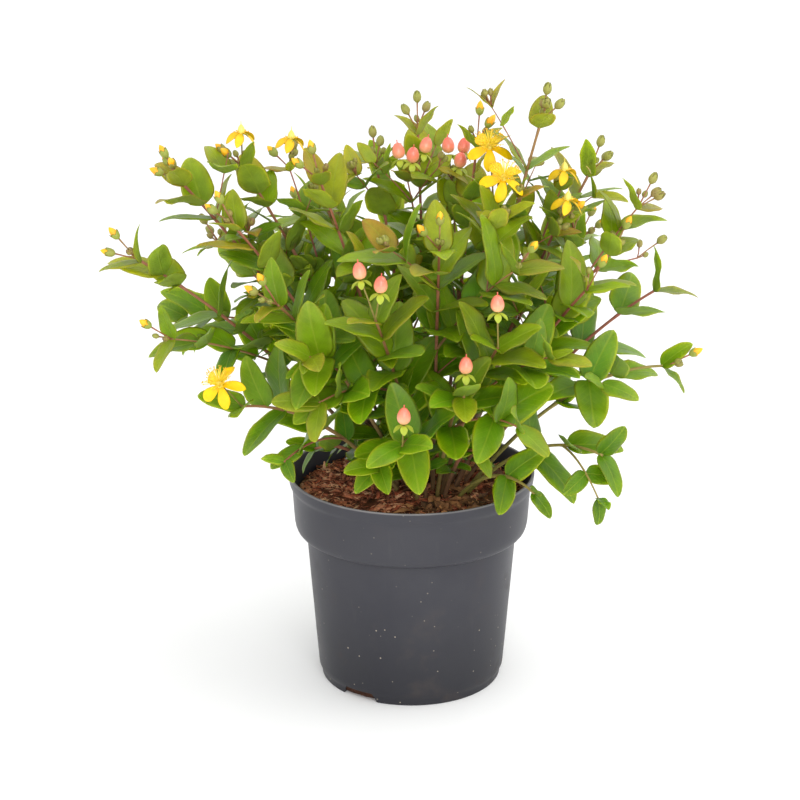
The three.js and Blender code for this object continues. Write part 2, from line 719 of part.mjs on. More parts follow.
// The whole surface of a shoot: a four-angled stem whose sides run out into leaves and buds
function shootSolid(shoot) {
  const surface = { points: [], faces: [] };
  const rings = shootRings(shoot);
  for (const ring of rings) surface.points.push(...ringCorners(ring, shoot.arc.plane));
  const buds = budPlans(shoot);
  for (let ring = 0; ring + 1 < rings.length; ring++) {
    for (let corner = 0; corner < 4; corner++) {
      const [a, b] = [ring * 4 + corner, ring * 4 + ((corner + 1) % 4)];
      const { pair } = rings[ring];
      const side = (corner + 4 - (pair?.quarter ?? 0)) % 4;
      const leaf = pair && side % 2 === 0 ? pair.leaves[side / 2].grown : null;
      const bud = rings[ring].buds ? buds.find((one) => one.side === corner) : null;
      if (leaf) addBlade(surface, leaf.sheet, leaf.above, [b + 4, a + 4, b, a]);
      else if (bud) addBud(surface, [a, b, b + 4, a + 4], shoot.arc.tip, bud);
      else surface.faces.push([a, b, b + 4], [a, b + 4, a + 4]);
    }
  }
  const last = (rings.length - 1) * 4;
  surface.faces.push([0, 2, 1], [0, 3, 2], [last, last + 1, last + 2], [last, last + 2, last + 3]);
  return solidFromFaces(surface.points, surface.faces);
}

// A stalk from a shoot's tip to what it bears
function stalk(node, start, end) {
  const points = [start.clone(), end.clone()];
  const radii = [STALK_RADIUS, STALK_RADIUS];
  grown.push(...stretchBodies(node, "stem", points, radii));
  return tube(points, radii, STALK_SIDES);
}

function berrySolid(middle, along) {
  const geometry = new THREE.SphereGeometry(BERRY.radius, 6, 4);
  geometry.scale(1, BERRY.height / 2 / BERRY.radius, 1);
  geometry.applyQuaternion(new THREE.Quaternion().setFromUnitVectors(new THREE.Vector3(0, 1, 0), along));
  geometry.translate(middle.x, middle.y, middle.z);
  return solidOf(geometry);
}

// An open flower: five petals and the bunch of stamens
function flowerPieces(name, middle, facing) {
  const stamens = middle.clone().addScaledVector(facing, COROLLA.crown + STYLE.rise);
  grown.push(starBody(name, middle, facing, COROLLA), starBody(name, stamens, facing, STAMENS));
  const top = stamens.clone().addScaledVector(facing, STYLE.into);
  const style = tube([middle.clone(), top], [STYLE.radius, STYLE.radius], STALK_SIDES);
  return [starSolid(middle, facing, COROLLA), style, starSolid(stamens, facing, STAMENS)];
}

// A spent flower: the ovary drawn out into its styles, and petals that hang down
function spentPieces(name, middle, facing) {
  const profile = OVARY.map(([radius, height]) => new THREE.Vector2(radius, height));
  const ovary = new THREE.LatheGeometry(profile, 5);
  ovary.applyQuaternion(new THREE.Quaternion().setFromUnitVectors(new THREE.Vector3(0, 1, 0), facing));
  ovary.translate(middle.x, middle.y, middle.z);
  const seat = middle.clone().addScaledVector(facing, OVARY[0][1] + FADED_SEAT);
  grown.push(starBody(name, seat, facing, FADED));
  const ends = [OVARY[0][1], OVARY.at(-1)[1]].map((z) => middle.clone().addScaledVector(facing, z));
  const widest = OVARY[1][0];
  grown.push(...stretchBodies(name, "bloom", ends, [widest, widest]));
  return [solidOf(ovary), starSolid(seat, facing, FADED)];
}

// The pot: a turned wall with its lip, collar and floor, and notches cut out of the foot
function potSolid() {
  const side = [[0, 0], ...POT_OUTSIDE, ...POT_LIP, ...POT_INSIDE, [0, POT_INSIDE.at(-1)[1]]];
  const profile = side.map(([radius, height]) => new THREE.Vector2(radius, height));
  const geometry = new THREE.LatheGeometry(profile, POT_SIDES).rotateX(Math.PI / 2);
  let pot = solidOf(geometry);
  for (const azimuth of NOTCH_AZIMUTHS) {
    const half = NOTCH.width / 2;
    const shape = new THREE.Shape([
      new THREE.Vector2(-half, -2),
      new THREE.Vector2(half, -2),
      new THREE.Vector2(half - NOTCH.taper, NOTCH.height),
      new THREE.Vector2(-half + NOTCH.taper, NOTCH.height),
    ]);
    const cut = new THREE.ExtrudeGeometry(shape, {
      depth: NOTCH.outer - NOTCH.inner,
      bevelEnabled: false,
    });
    cut.rotateX(Math.PI / 2).translate(0, -NOTCH.inner, 0).rotateZ(azimuth * RADIAN);
    pot = pot.subtract(solidOf(cut));
  }
  return pot;
}

// The compost: it fills the pot, and its top is a low, uneven relief
const soilRelief = (x, y) =>
  2.1 * Math.sin(x / 9 + 0.8) * Math.cos(y / 11 + 0.4) + 1.3 * Math.sin((x + 1.4 * y) / 6.3);

function soilRadius(height) {
  const wall = [...POT_INSIDE].reverse();
  const above = wall.findIndex(([, level]) => level > height);
  const [[r0, z0], [r1, z1]] = [wall[above - 1], wall[above]];
  const inside = r0 + ((r1 - r0) * (height - z0)) / (z1 - z0);
  return inside - SEAT_GAP * 1.2;
}

function soilGeometry() {
  const floor = POT_INSIDE.at(-1)[1] + SEAT_GAP;
  const points = [];
  const faces = [];
  const ringAt = (radius, height) => {
    const start = points.length;
    for (let side = 0; side < POT_SIDES; side++) {
      const angle = (side / POT_SIDES) * 2 * Math.PI;
      const x = radius * Math.cos(angle);
      const y = radius * Math.sin(angle);
      points.push(new THREE.Vector3(x, y, height ?? SOIL_TOP + soilRelief(x, y)));
    }
    return start;
  };
  const edge = soilRadius(SOIL_SIDE.at(-1));
  const rings = [floor, ...SOIL_SIDE].map((height) => ringAt(soilRadius(height), height));
  rings.push(...SOIL_RINGS.map((share) => ringAt(edge * share)));
  for (let i = 0; i + 1 < rings.length; i++) {
    for (let side = 0; side < POT_SIDES; side++) {
      const next = (side + 1) % POT_SIDES;
      const [a, b] = [rings[i] + side, rings[i] + next];
      const [c, d] = [rings[i + 1] + next, rings[i + 1] + side];
      faces.push([a, b, c], [a, c, d]);
    }
  }
  const middle = points.push(new THREE.Vector3(0, 0, SOIL_TOP + soilRelief(0, 0))) - 1;
  const under = points.push(new THREE.Vector3(0, 0, floor)) - 1;
  for (let side = 0; side < POT_SIDES; side++) {
    const next = (side + 1) % POT_SIDES;
    faces.push([rings.at(-1) + side, rings.at(-1) + next, middle]);
    faces.push([rings[0] + next, rings[0] + side, under]);
  }
  const geometry = new THREE.BufferGeometry().setFromPoints(points);
  geometry.setIndex(faces.flat());
  return geometry;
}

// The height of the compost's faces under a point
function groundUnder(soil, x, y) {
  const { position } = soil.attributes;
  const corner = (i) => new THREE.Vector3().fromBufferAttribute(position, soil.index.getX(i));
  let ground = -Infinity;
  for (let i = 0; i < soil.index.count; i += 3) {
    const [a, b, c] = [corner(i), corner(i + 1), corner(i + 2)];
    const area = (b.x - a.x) * (c.y - a.y) - (c.x - a.x) * (b.y - a.y);
    if (area < 1e-6) continue;
    const u = ((b.x - x) * (c.y - y) - (c.x - x) * (b.y - y)) / area;
    const v = ((c.x - x) * (a.y - y) - (a.x - x) * (c.y - y)) / area;
    if (u < 0 || v < 0 || u + v > 1) continue;
    ground = Math.max(ground, u * a.z + v * b.z + (1 - u - v) * c.z);
  }
  return ground;
}

// How far points have to rise for a piece through them to lie just above the compost
function seatingLift(ground, points, thick) {
  const lifts = points.flatMap((a) => points.map((b) => {
    const { x, y, z } = a.clone().lerp(b, 0.5);
    return groundUnder(ground, x, y) - z;
  }));
  return Math.max(...lifts) + thick + SEAT_GAP;
}

function dryLeafSolid(ground, x, y, length, heading) {
  const ahead = new THREE.Vector3(Math.cos(heading * RADIAN), Math.sin(heading * RADIAN), 0);
  const frame = bladeFrame(new THREE.Vector3(x, y, 0).addScaledVector(ahead, -length / 2), ahead, UP);
  const sheet = bladeSheet(frame, { ...DRY_LEAF, length, width: length * DRY_LEAF.slim }, SMALL_LEAF);
  const lift = seatingLift(ground, sheet.points, LEAF_THICKNESS / 2);
  for (const point of sheet.points) point.z += lift;
  const surface = { points: [], faces: [] };
  addBlade(surface, sheet, frame.above);
  return solidFromFaces(surface.points, surface.faces);
}

function twigSolid(ground) {
  const [[x0, y0], [x1, y1]] = DRY_TWIG.ends;
  const points = [0, 0.5, 1].map((share) => new THREE.Vector3(
    x0 + (x1 - x0) * share, y0 + (y1 - y0) * share, DRY_TWIG.rise * share * share,
  ));
  const lift = seatingLift(ground, points, DRY_TWIG.radius * 1.25);
  for (const point of points) point.z += lift;
  return tube(points, points.map(() => DRY_TWIG.radius), DRY_TWIG.sides);
}

// Materials, one for each piece
const finish = (colour, roughness) =>
  new THREE.MeshStandardMaterial({ color: colour, roughness, metalness: 0 });
const plant = new THREE.Group();

function place(name, solid, material) {
  const mesh = new THREE.Mesh(geometryOf(solid), material);
  mesh.name = name;
  plant.add(mesh);
}

place("pot", potSolid(), finish("#55545a", 0.5));

// Stems first, then what the tips bear, then the leaves, which bend clear of it all
const pieces = new Map(STEMS.map(([name]) => [name, []]));
for (const shoot of shoots.values()) {
  shoot.pairs = pairPlans(shoot);
  const rings = shootRings(shoot);
  const centres = rings.map((ring) => ring.centre);
  grown.push(...stretchBodies(shoot.node, "stem", centres, rings.map((ring) => ring.radius)));
}
for (const shoot of shoots.values()) {
  for (const bud of budPlans(shoot)) {
    const rings = [{ centre: shoot.arc.tip, radius: STALK_RADIUS }, ...budRings(shoot.arc.tip, bud)];
    const centres = rings.map((ring) => ring.centre);
    grown.push(...stretchBodies(shoot.node, "bud", centres, rings.map((ring) => ring.radius)));
  }
}

for (const [name, shootName, x, y, z] of BERRIES) {
  const { arc, node } = shoots.get(shootName);
  const middle = new THREE.Vector3(x, y, z);
  const along = middle.clone().sub(arc.tip).normalize().add(UP).normalize();
  const seat = middle.clone().addScaledVector(along, -BERRY.height / 2 - SEAT_GAP - CALYX.crown);
  pieces.get(node).push(stalk(node, arc.tip, seat), starSolid(seat, along, CALYX));
  grown.push(starBody(node, seat, along, CALYX));
  const ends = [BERRY.core, -BERRY.core].map((offset) => middle.clone().addScaledVector(along, offset));
  grown.push(...stretchBodies(name, "berry", ends, [BERRY.coreRadius, BERRY.coreRadius]));
  place(name, berrySolid(middle, along), finish("#e8846f", 0.35));
}

for (const [rows, make, foot] of [
  [FLOWERS, flowerPieces, COROLLA.foot],
  [SPENT_FLOWERS, spentPieces, -OVARY[0][1]],
]) {
  for (const [name, shootName, x, y, z, way] of rows) {
    const { arc, node } = shoots.get(shootName);
    const middle = new THREE.Vector3(x, y, z);
    const facing = new THREE.Vector3(...way).normalize();
    const seat = middle.clone().addScaledVector(facing, -foot - SEAT_GAP);
    pieces.get(node).push(stalk(node, arc.tip, seat));
    place(name, fuse(make(name, middle, facing)), finish("#f2c230", 0.6));
  }
}

for (const shoot of shoots.values()) {
  for (const pair of shoot.pairs) {
    let partner = null;
    for (const leaf of pair.leaves) {
      leaf.grown = growLeaf(shoot.node, shoot.arc, leaf, partner);
      partner = leaf.grown?.body;
    }
  }
  pieces.get(shoot.node).unshift(shootSolid(shoot));
}
for (const [name, solids] of pieces) place(name, fuse(solids), finish("#6f9a35", 0.55));

const ground = soilGeometry();
let soil = solidOf(ground);
for (const [name] of STEMS) {
  const { base } = shoots.get(name).arc;
  const hole = new THREE.CylinderGeometry(HOLE_RADIUS, HOLE_RADIUS, HOLE_DEPTH, 4).rotateX(Math.PI / 2);
  soil = soil.subtract(solidOf(hole.translate(base.x, base.y, HOLE_FLOOR + HOLE_DEPTH / 2)));
}
place("soil", soil, finish("#6b4227", 0.95));
for (const [name, x, y, length, heading, colour] of DRY_LEAVES) {
  place(name, dryLeafSolid(ground, x, y, length, heading), finish(colour, 0.8));
}
place(DRY_TWIG.name, twigSolid(ground), finish("#6e4a33", 0.85));

export default plant;
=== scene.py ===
"""A potted St John's wort: fine leaves, berries, flowers and bark compost round its CAD frame.

Lengths are in millimetres and are turned into metres when a mesh is made. +Z is up, the front is -Y.
"""

import math

import bpy
import numpy as np
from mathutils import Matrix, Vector
from mathutils.bvhtree import BVHTree
from mathutils.kdtree import KDTree


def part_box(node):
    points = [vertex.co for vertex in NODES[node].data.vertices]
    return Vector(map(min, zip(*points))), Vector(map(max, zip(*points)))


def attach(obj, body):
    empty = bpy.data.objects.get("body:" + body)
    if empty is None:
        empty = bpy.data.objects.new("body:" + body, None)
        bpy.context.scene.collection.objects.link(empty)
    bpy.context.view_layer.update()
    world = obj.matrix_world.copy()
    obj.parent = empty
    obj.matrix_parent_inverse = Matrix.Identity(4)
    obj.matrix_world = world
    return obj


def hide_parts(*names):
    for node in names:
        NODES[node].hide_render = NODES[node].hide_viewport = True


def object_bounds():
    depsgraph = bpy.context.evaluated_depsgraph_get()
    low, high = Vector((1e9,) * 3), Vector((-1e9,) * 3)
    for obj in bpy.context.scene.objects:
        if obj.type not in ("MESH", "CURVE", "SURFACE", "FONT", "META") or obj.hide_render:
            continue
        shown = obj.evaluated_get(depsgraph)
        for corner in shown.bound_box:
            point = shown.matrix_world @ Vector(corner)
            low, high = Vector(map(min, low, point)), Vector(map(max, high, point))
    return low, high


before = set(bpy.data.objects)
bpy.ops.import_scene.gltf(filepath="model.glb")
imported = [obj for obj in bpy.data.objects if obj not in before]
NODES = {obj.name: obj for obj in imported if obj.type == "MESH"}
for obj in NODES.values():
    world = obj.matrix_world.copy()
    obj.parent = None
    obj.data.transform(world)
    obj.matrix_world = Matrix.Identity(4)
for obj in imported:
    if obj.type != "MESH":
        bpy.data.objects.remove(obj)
CAD_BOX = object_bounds()
MM = 0.001
LOW = np.array(CAD_BOX[0]) / MM
HIGH = np.array(CAD_BOX[1]) / MM
UP = np.array([0.0, 0.0, 1.0])

# The camera that the photograph was taken with
CAMERA = {"elevation": 18.49, "distance": 1700, "target": (-8.7, 0, 223.5), "lens": 100.15, "sensor": 36}

# The studio: how bright the sky is, the floor in metres, and each light's place, size in metres and watts
SKY = 1.17
FLOOR = {"size": 30, "white": 0.93}
LIGHTS = [("front", (300, -2400, 1000), 1.6, 33), ("right", (1500, -150, 2000), 1.5, 15)]
LIT_PLACE = (0, 0, 220)

# The pot: [radius, height] up the outside, over the lip and down the inside
POT_OUTSIDE = [
    (69.6, 0), (70.2, 0.6), (70.6, 4), (71.2, 6.6), (72.4, 8.4), (72.8, 12), (73.8, 24), (74.8, 36),
    (75.7, 48), (76.6, 60), (77.5, 70), (78.3, 80), (79.2, 92), (80.1, 103), (80.8, 113), (81, 116.6),
    (81.2, 118), (81.9, 118.8), (83.4, 119.5), (85.6, 120.3), (87.4, 121.3), (88.8, 123), (89.7, 125.4),
    (90.3, 128.8), (90.7, 134), (91.2, 142), (91.7, 150), (92, 154.6), (92.5, 156.8), (93.7, 158.2),
    (94.3, 160.6), (94.9, 165),
]
POT_LIP = [(95, 166.2), (94.6, 166.9), (93.9, 167), (93.1, 166.8), (92.7, 166)]
POT_INSIDE = [(91.6, 159), (90.5, 152), (90.1, 148), (88.2, 133), (79, 116), (69.6, 2.4)]
NOTCH = {"height": 7.5, "width": 34, "taper": 5, "inner": 60, "outer": 80}
NOTCH_AZIMUTHS = [-35, -97, 104, 166]

# The compost
SOIL_TOP = 152
SOIL_EDGE = 148
SOIL_RADIUS = 89.9
SOIL_SIDE = [(87.8, 132.6), (78.6, 116), (69.2, 2.8)]
SOIL_SHOULDER = 0.8
SOIL_MESH = {"rings": 60, "sides": 160, "lumps": 26}
CHIPS = {
    "count": 2800, "reach": 0.965, "length": (1.2, 4), "width": (0.14, 0.5), "thick": (0.3, 0.8),
    "long": 2.2, "long_share": 0.08, "brightest": 1.6,
}
FIBRES = {"count": 2400, "reach": 0.95, "length": (4, 13), "thick": (0.18, 0.5), "brightest": 1.55}
LITTER = {
    "count": 120, "radius": 83.5, "right": 78, "front": -82, "rear": (-45, 30), "length": (9, 18),
    "rise": 2.6, "colour": (182, 128, 84),
}

# The plant's driving dimensions, as in the part's source
CROWN = np.array([16.0, 6.0, 156.0])
CROWN_SPREAD = {"least": 4, "more": 27}
CROWN_HEIGHT = 290
CROWN_RADIUS = 110
# Painted shade on the low leaves: how dark they are made below a height, and over how much more height it
# fades out
LOW_LEAF_PAINTED_SHADE = {"shade": 0.72, "below": 170, "blend": 90}
STEM_RADIUS = 1.7
TWIG_RADIUS = 1.0
STALK_RADIUS = 0.6
BUD_STALK = [STALK_RADIUS * share for share in (1, 0.85, 1.1)]
FLOWER_STALK = [STALK_RADIUS * share for share in (1.1, 1, 1.2)]
STEM_TAPER = 0.45
STEM_SIDES = 8
STEM_STEP = 7
STEM_FOOT = {"under": 8, "wider": 1.15}
JOINT = {"swell": 0.28, "reach": 3}
LEAF_WIDTH = 0.5
FULLER = 1.1
LEAF_THICKNESS = 0.8
SMALL_LENGTH = 18
HELD_WITHIN = 0.15
PAIR_SPACING = 44
LAST_PAIR = 0.98
SEAT_GAP = 0.35
BERRY = {"radius": 5, "height": 13, "rows": 15, "sides": 24, "full": 2.1, "narrowing": 0.18}
STYLE = [0.5, 0.3, 0.14]
BUD = {
    "radius": 2.9, "length": 9.5, "reach": 20, "side_reach": 14, "stagger": 2, "spread": 0.75,
    "slim": 0.9, "ripe_reach": 1.04, "young_reach": 0.9,
}
SEPAL_CUP = {"sides": 25, "rows": 5, "inner": 0.08, "outer": 0.34, "flare": (0.5, 1.1), "lobed": 0.7}
SIDE_BUDS = {"count": 2, "out": (0.5, 0.5), "reach": (6, 5), "size": (0.55, 0.15), "ripe": 0.1}
RIPENESS = {"closed": (0, 0.2), "ripe": (0.26, 0.6)}

# Draws of a leaf's habit: the least, and how much more it may be
DRAWS = {
    "swing": (-12, 24), "lift": (16, 16), "length": (0.9, 0.2), "slim": (0.92, 0.16),
    "droop": (0.1, 0.16), "fold": (0.18, 0.2), "sway": (-0.07, 0.14),
}
VARIED = {"blunt": (0.45, 0.55), "curl": (-0.03, 0.16), "hook": (0, 0.08)}
LIFT_TO_TIP = 26
LARGEST = {"share": 0.4, "fall": 0.9}
LEAF_RISE = 0.16

# What is added to a shoot's own seed for each kind of draw
SEEDS = {"stem": 900, "buds": 300, "pairs": 2000, "between": 4000, "twigs": 6000}

# Each leafy shoot: name, tip x, y, z, arch above the straight line, bare part, leaf length, turn, buds
STEMS = [
    ("upper_left", -171, 0, 394, 26, 0.24, 46, 20, 4),
    ("left_top", -126, 15, 402, 22, 0.26, 41, 65, 2),
    ("mid_left_top", -67, -30, 402, 20, 0.26, 45, 80, 2),
    ("mid_back_top", -27, 70, 392, 16, 0.26, 45, 35, 2),
    ("far_left", -202, -30, 343, 30, 0.21, 45, 85, 2),
    ("left_inner", -128, -50, 372, 26, 0.23, 45, 40, 2),
    ("lower_left", -123, -88, 248, 38, 0.2, 50, 5, 0),
    ("front_left_bud", -96, -90, 325, 30, 0.23, 48, 30, 2),
    ("berry_pair", -26, -118, 322, 22, 0.24, 52, 60, 0),
    ("berry_right", 60, -122, 303, 26, 0.24, 50, 12, 0),
    ("berry_low", 36, -138, 272, 34, 0.23, 48, 75, 0),
    ("berry_front", -7, -146, 238, 40, 0.22, 50, 25, 0),
    ("top_centre", 5, 75, 418, 10, 0.29, 43, 50, 3),
    ("top_right_inner", 49, 27, 418, 8, 0.29, 43, 0, 3),
    ("bloom_top", 60, -18, 383, 12, 0.26, 45, 45, 1),
    ("top_right", 94, -10, 441, 14, 0.29, 43, 5, 3),
    ("spent_right", 110, -6, 366, 18, 0.24, 45, 60, 1),
    ("right_back_top", 136, 50, 390, 20, 0.24, 45, 30, 3),
    ("right", 147, -22, 346, 26, 0.23, 50, 70, 1),
    ("right_side", 186, 12, 308, 34, 0.21, 50, 15, 0),
    ("far_right", 189, -32, 261, 48, 0.17, 43, 55, 1),
    ("trailing", 138, -98, 214, 40, 0.21, 48, 85, 0),
    ("rim_rosette", 88, -112, 190, 30, 0.29, 43, 40, 0),
    ("low_inner", -74, -12, 188, 26, 0.35, 32, 20, 0),
    ("low_front", -24, -106, 208, 34, 0.35, 46, 50, 0),
    ("low_front_right", 48, -100, 216, 30, 0.35, 46, 15, 0),
    ("front_fill", 19, -92, 366, 18, 0.26, 52, 10, 2),
    ("right_bud", 126, -72, 332, 26, 0.23, 48, 35, 1),
    ("back_left", -150, 92, 322, 34, 0.22, 50, 25, 2),
    ("back_mid_left", -86, 138, 330, 30, 0.23, 50, 70, 2),
    ("back_mid", -14, 166, 326, 28, 0.23, 50, 10, 2),
    ("back_mid_right", 64, 154, 336, 26, 0.23, 50, 55, 2),
    ("back_right", 134, 112, 322, 30, 0.22, 50, 5, 2),
]

# Side shoots: the stem they leave, where along it, then the same values as a stem
SIDE_SHOOTS = [
    ("far_left", 0.45, -175, -62, 291, 8, 0.35, 39, 10, 1),
    ("left_top", 0.45, -92, 34, 396, 12, 0.3, 41, 10, 2),
    ("lower_left", 0.35, -92, -112, 214, 14, 0.4, 43, 50, 0),
    ("front_left_bud", 0.5, -72, -122, 296, 10, 0.3, 48, 75, 0),
    ("berry_pair", 0.5, -66, -128, 264, 16, 0.3, 48, 20, 0),
    ("berry_right", 0.5, 96, -122, 296, 12, 0.3, 48, 60, 0),
    ("berry_low", 0.45, 74, -146, 252, 16, 0.3, 48, 30, 0),
    ("top_centre", 0.6, -3, 38, 386, 6, 0.4, 39, 15, 0),
    ("top_right_inner", 0.5, 31, 50, 384, 6, 0.35, 45, 20, 1),
    ("spent_right", 0.62, 112, 20, 384, 6, 0.4, 37, 70, 0),
    ("right", 0.7, 166, -16, 378, 6, 0.3, 39, 35, 3),
    ("far_right", 0.48, 138, -78, 262, 14, 0.3, 45, 60, 0),
    ("trailing", 0.7, 134, -120, 188, 12, 0.3, 43, 15, 0),
    ("front_fill", 0.55, 72, -98, 352, 12, 0.3, 50, 65, 1),
    ("back_left", 0.5, -176, 44, 276, 14, 0.3, 45, 80, 0),
    ("back_mid_left", 0.45, -112, 126, 252, 20, 0.3, 48, 30, 0),
    ("back_mid", 0.45, 22, 172, 246, 22, 0.3, 48, 45, 0),
    ("back_right", 0.45, 118, 146, 246, 20, 0.3, 48, 70, 0),
    ("right_back_top", 0.5, 176, 66, 318, 12, 0.3, 45, 20, 1),
]

# Berries: name, shoot and the middle's place
BERRIES = [
    ("berry_1", "berry_pair", -37, -116, 357),
    ("berry_2", "berry_pair", -22, -126, 350),
    ("berry_3", "berry_right", 59, -125, 336),
    ("berry_4", "berry_low", 37, -141, 296),
    ("berry_5", "berry_front", -6, -150, 262),
    ("berry_6", "top_centre.2", -10, 38, 409),
    ("berry_7", "top_centre.2", 1, 28, 408),
    ("berry_8", "top_centre.2", 11, 44, 412),
    ("berry_9", "top_right_inner.2", 28, 58, 409),
    ("berry_10", "top_right_inner.2", 40, 52, 410),
    ("berry_11", "top_right_inner.2", 37, 38, 402),
]

# Shoots whose buds are still closed and green
CLOSED_BUDS = {
    "top_right", "right_back_top", "right_back_top.2", "right.2", "top_centre", "mid_back_top",
    "back_left", "back_mid",
}

# Stems that stay green
GREEN_STEMS = {"far_right", "trailing", "far_right.2", "trailing.2", "rim_rosette"}

# Open and spent flowers: name, shoot, the middle's place and the way they face
FLOWERS = [
    ("flower_left", "lower_left", -137, -100, 268, (-0.35, -0.8, 0.55)),
    ("flower_top", "bloom_top", 57, -4, 420, (-0.1, -0.75, 0.7)),
    ("flower_mid", "bloom_top", 66, -36, 404, (0.1, -0.75, 0.65)),
]
SPENT_FLOWERS = [
    ("spent_left", "left_top", -126, 10, 430, (0, -0.1, 1)),
    ("spent_mid", "left_top.2", -90, 28, 422, (0.05, -0.1, 1)),
    ("spent_right_upper", "spent_right.2", 113, 5, 403, (0, -0.2, 1)),
    ("spent_right_lower", "spent_right", 114, -22, 387, (0.05, -0.2, 1)),
]
CALYX = {"arms": 5, "reach": 7.8, "width": 5.4, "droop": 0.7}
OPEN_FLOWER = {
    "slot": "petals", "seed": 7, "below": 0, "sepal_gap": 0.5, "twist": 0.3,
    "petal": {"arms": 5, "reach": 18, "width": 9.4, "droop": 0.42},
    "sepal": {"arms": 5, "reach": 7, "width": 3.6, "droop": 0.3},
    "ovary": [(1, -0.9), (2.2, 0.6), (2.5, 2.4), (1.7, 4.4), (0.4, 5.4), (0.1, 8)],
    "stamens": {"count": 80, "reach": 11.5, "rise": 14},
}
SPENT_FLOWER = {
    "slot": "faded_petals", "seed": 11, "below": 2, "sepal_gap": 0.4, "twist": 0.4,
    "petal": {"arms": 5, "reach": 12, "width": 7.2, "droop": 0.8},
    "sepal": {"arms": 5, "reach": 6.4, "width": 3.4, "droop": 0.35},
    "ovary": [
        (0.6, -2.9), (2, -1.9), (2.75, -0.6), (2.7, 0.9), (2.2, 2.6), (1.2, 4), (0.4, 5), (0.14, 7.9),
    ],
    "stamens": {"count": 14, "reach": 5.5, "rise": 2.2},
}
STAR = {"start": 0.8, "length": (0.93, 0.07), "width": (0.94, 0.1), "fold": 0.25, "sway": 0.05, "wave": 0.03}
OVARY_SIDES = 12
STAMEN_FOOT = {"radius": 2.4, "above": 1.2, "inner": (0.4, 0.6)}
FILAMENT = [0.26, 0.2, 0.15]
ANTHER = [(0, -0.6), (0.42, -0.25), (0.42, 0.25), (0, 0.6)]
STAR_AXIS = np.array([0.3, 1, 0.2])
BUD_PROFILE = [
    (0.25, 0), (0.75, 0.12), (0.97, 0.3), (1, 0.45), (0.86, 0.64), (0.58, 0.82), (0.24, 0.94), (0.03, 1),
]
YOUNG = 0.25
PLUMP = 1.14

# What lies on the compost: name, x, y, length, heading and colour of each dry leaf, and the twig's ends
DRY_LEAVES = [
    ("dry_leaf_1", 58, -34, 30, 20, (150, 98, 62)),
    ("dry_leaf_2", 64, 34, 27, 100, (128, 84, 64)),
    ("dry_leaf_3", 24, -58, 24, 200, (186, 132, 64)),
]
DRY_LEAF = {"slim": 0.55, "droop": -0.1, "fold": 0.22, "sway": 0.12}
DRY_TWIG = {"ends": ((34, -34), (82, -2)), "radius": 1.1, "rise": 2}

# The short twigs that fill the crown, and the zone outside the rim that stays open
TWIG = {
    "reach": (30, 30), "arch": 3, "bare": 0.35, "leaf": (0.74, 0.2), "radius": 0.65, "attempts": 3,
    "share": 0.6, "above": 270, "within": 100, "wider": 50, "widest": 360, "budding": 330,
    "budded": 0.6, "bud_size": (0.5, 0.3), "bud_reach": (5, 5), "ripe": 0.2,
}
OPEN_GAPS = [((-162, 290), (-130, 318)), ((-116, 366), (-94, 384)), ((78, 406), (144, 440))]
OPEN_ZONE = {"radius": 66, "below": 244, "right": 132, "right_below": 360}
POT_ZONE = {"soil": 98, "soil_above": 4, "rim_inner": 86, "rim_outer": 99, "rim_above": 1.2}

# Low shoots whose leaves the photograph shows smaller than the solids have them
SLIGHT_SHOOTS = {
    "low_front_right": 0.62, "lower_left.2": 0.62, "trailing.2": 0.66, "low_front": 0.85,
    "rim_rosette": 0.8,
}

# How a leaf may bend to clear its neighbours: degrees round the stem, degrees up the stem
BENDS = [
    (0, 0), (12, 0), (-12, 0), (0, 14), (0, -14), (22, 8), (-22, 8), (22, -10), (-22, -10),
    (0, 28), (0, -26), (34, 0), (-34, 0), (34, 20), (-34, 20), (46, 6), (-46, 6),
]
SHRINKS = [1, 0.84, 0.7]
ADDED_BENDS = BENDS[:11]
ADDED_SHRINKS = [1, 0.8, 0.62]

# Sizes of the added leaves: between the CAD pairs, in the axils, and old ones at the foot of a shoot
BETWEEN = 0.94
AXIL = {"share": 0.8, "turn": 34, "size": (0.26, 0.22), "lift": 16}
OLD_SIZE = 0.7

# Outlines of blades: share of the length, half width as a share of the widest
LEAF_OUTLINE = [
    (0, 0.16), (0.03, 0.44), (0.08, 0.72), (0.16, 0.92), (0.26, 1), (0.38, 1), (0.5, 0.94),
    (0.62, 0.82), (0.73, 0.65), (0.83, 0.46), (0.92, 0.25), (0.97, 0.12), (1, 0),
]
BLUNT_OUTLINE = [
    (0, 0.16), (0.03, 0.44), (0.08, 0.72), (0.16, 0.9), (0.26, 0.99), (0.38, 1), (0.5, 1),
    (0.62, 0.96), (0.73, 0.87), (0.83, 0.73), (0.92, 0.52), (0.97, 0.32), (1, 0),
]
SMALL_OUTLINE = [(0, 0.2), (0.12, 0.72), (0.32, 1), (0.58, 0.84), (0.82, 0.44), (1, 0)]
PETAL_OUTLINE = [
    (0, 0.3), (0.12, 0.44), (0.28, 0.66), (0.45, 0.88), (0.6, 1), (0.74, 0.95), (0.86, 0.74),
    (0.95, 0.4), (1, 0),
]

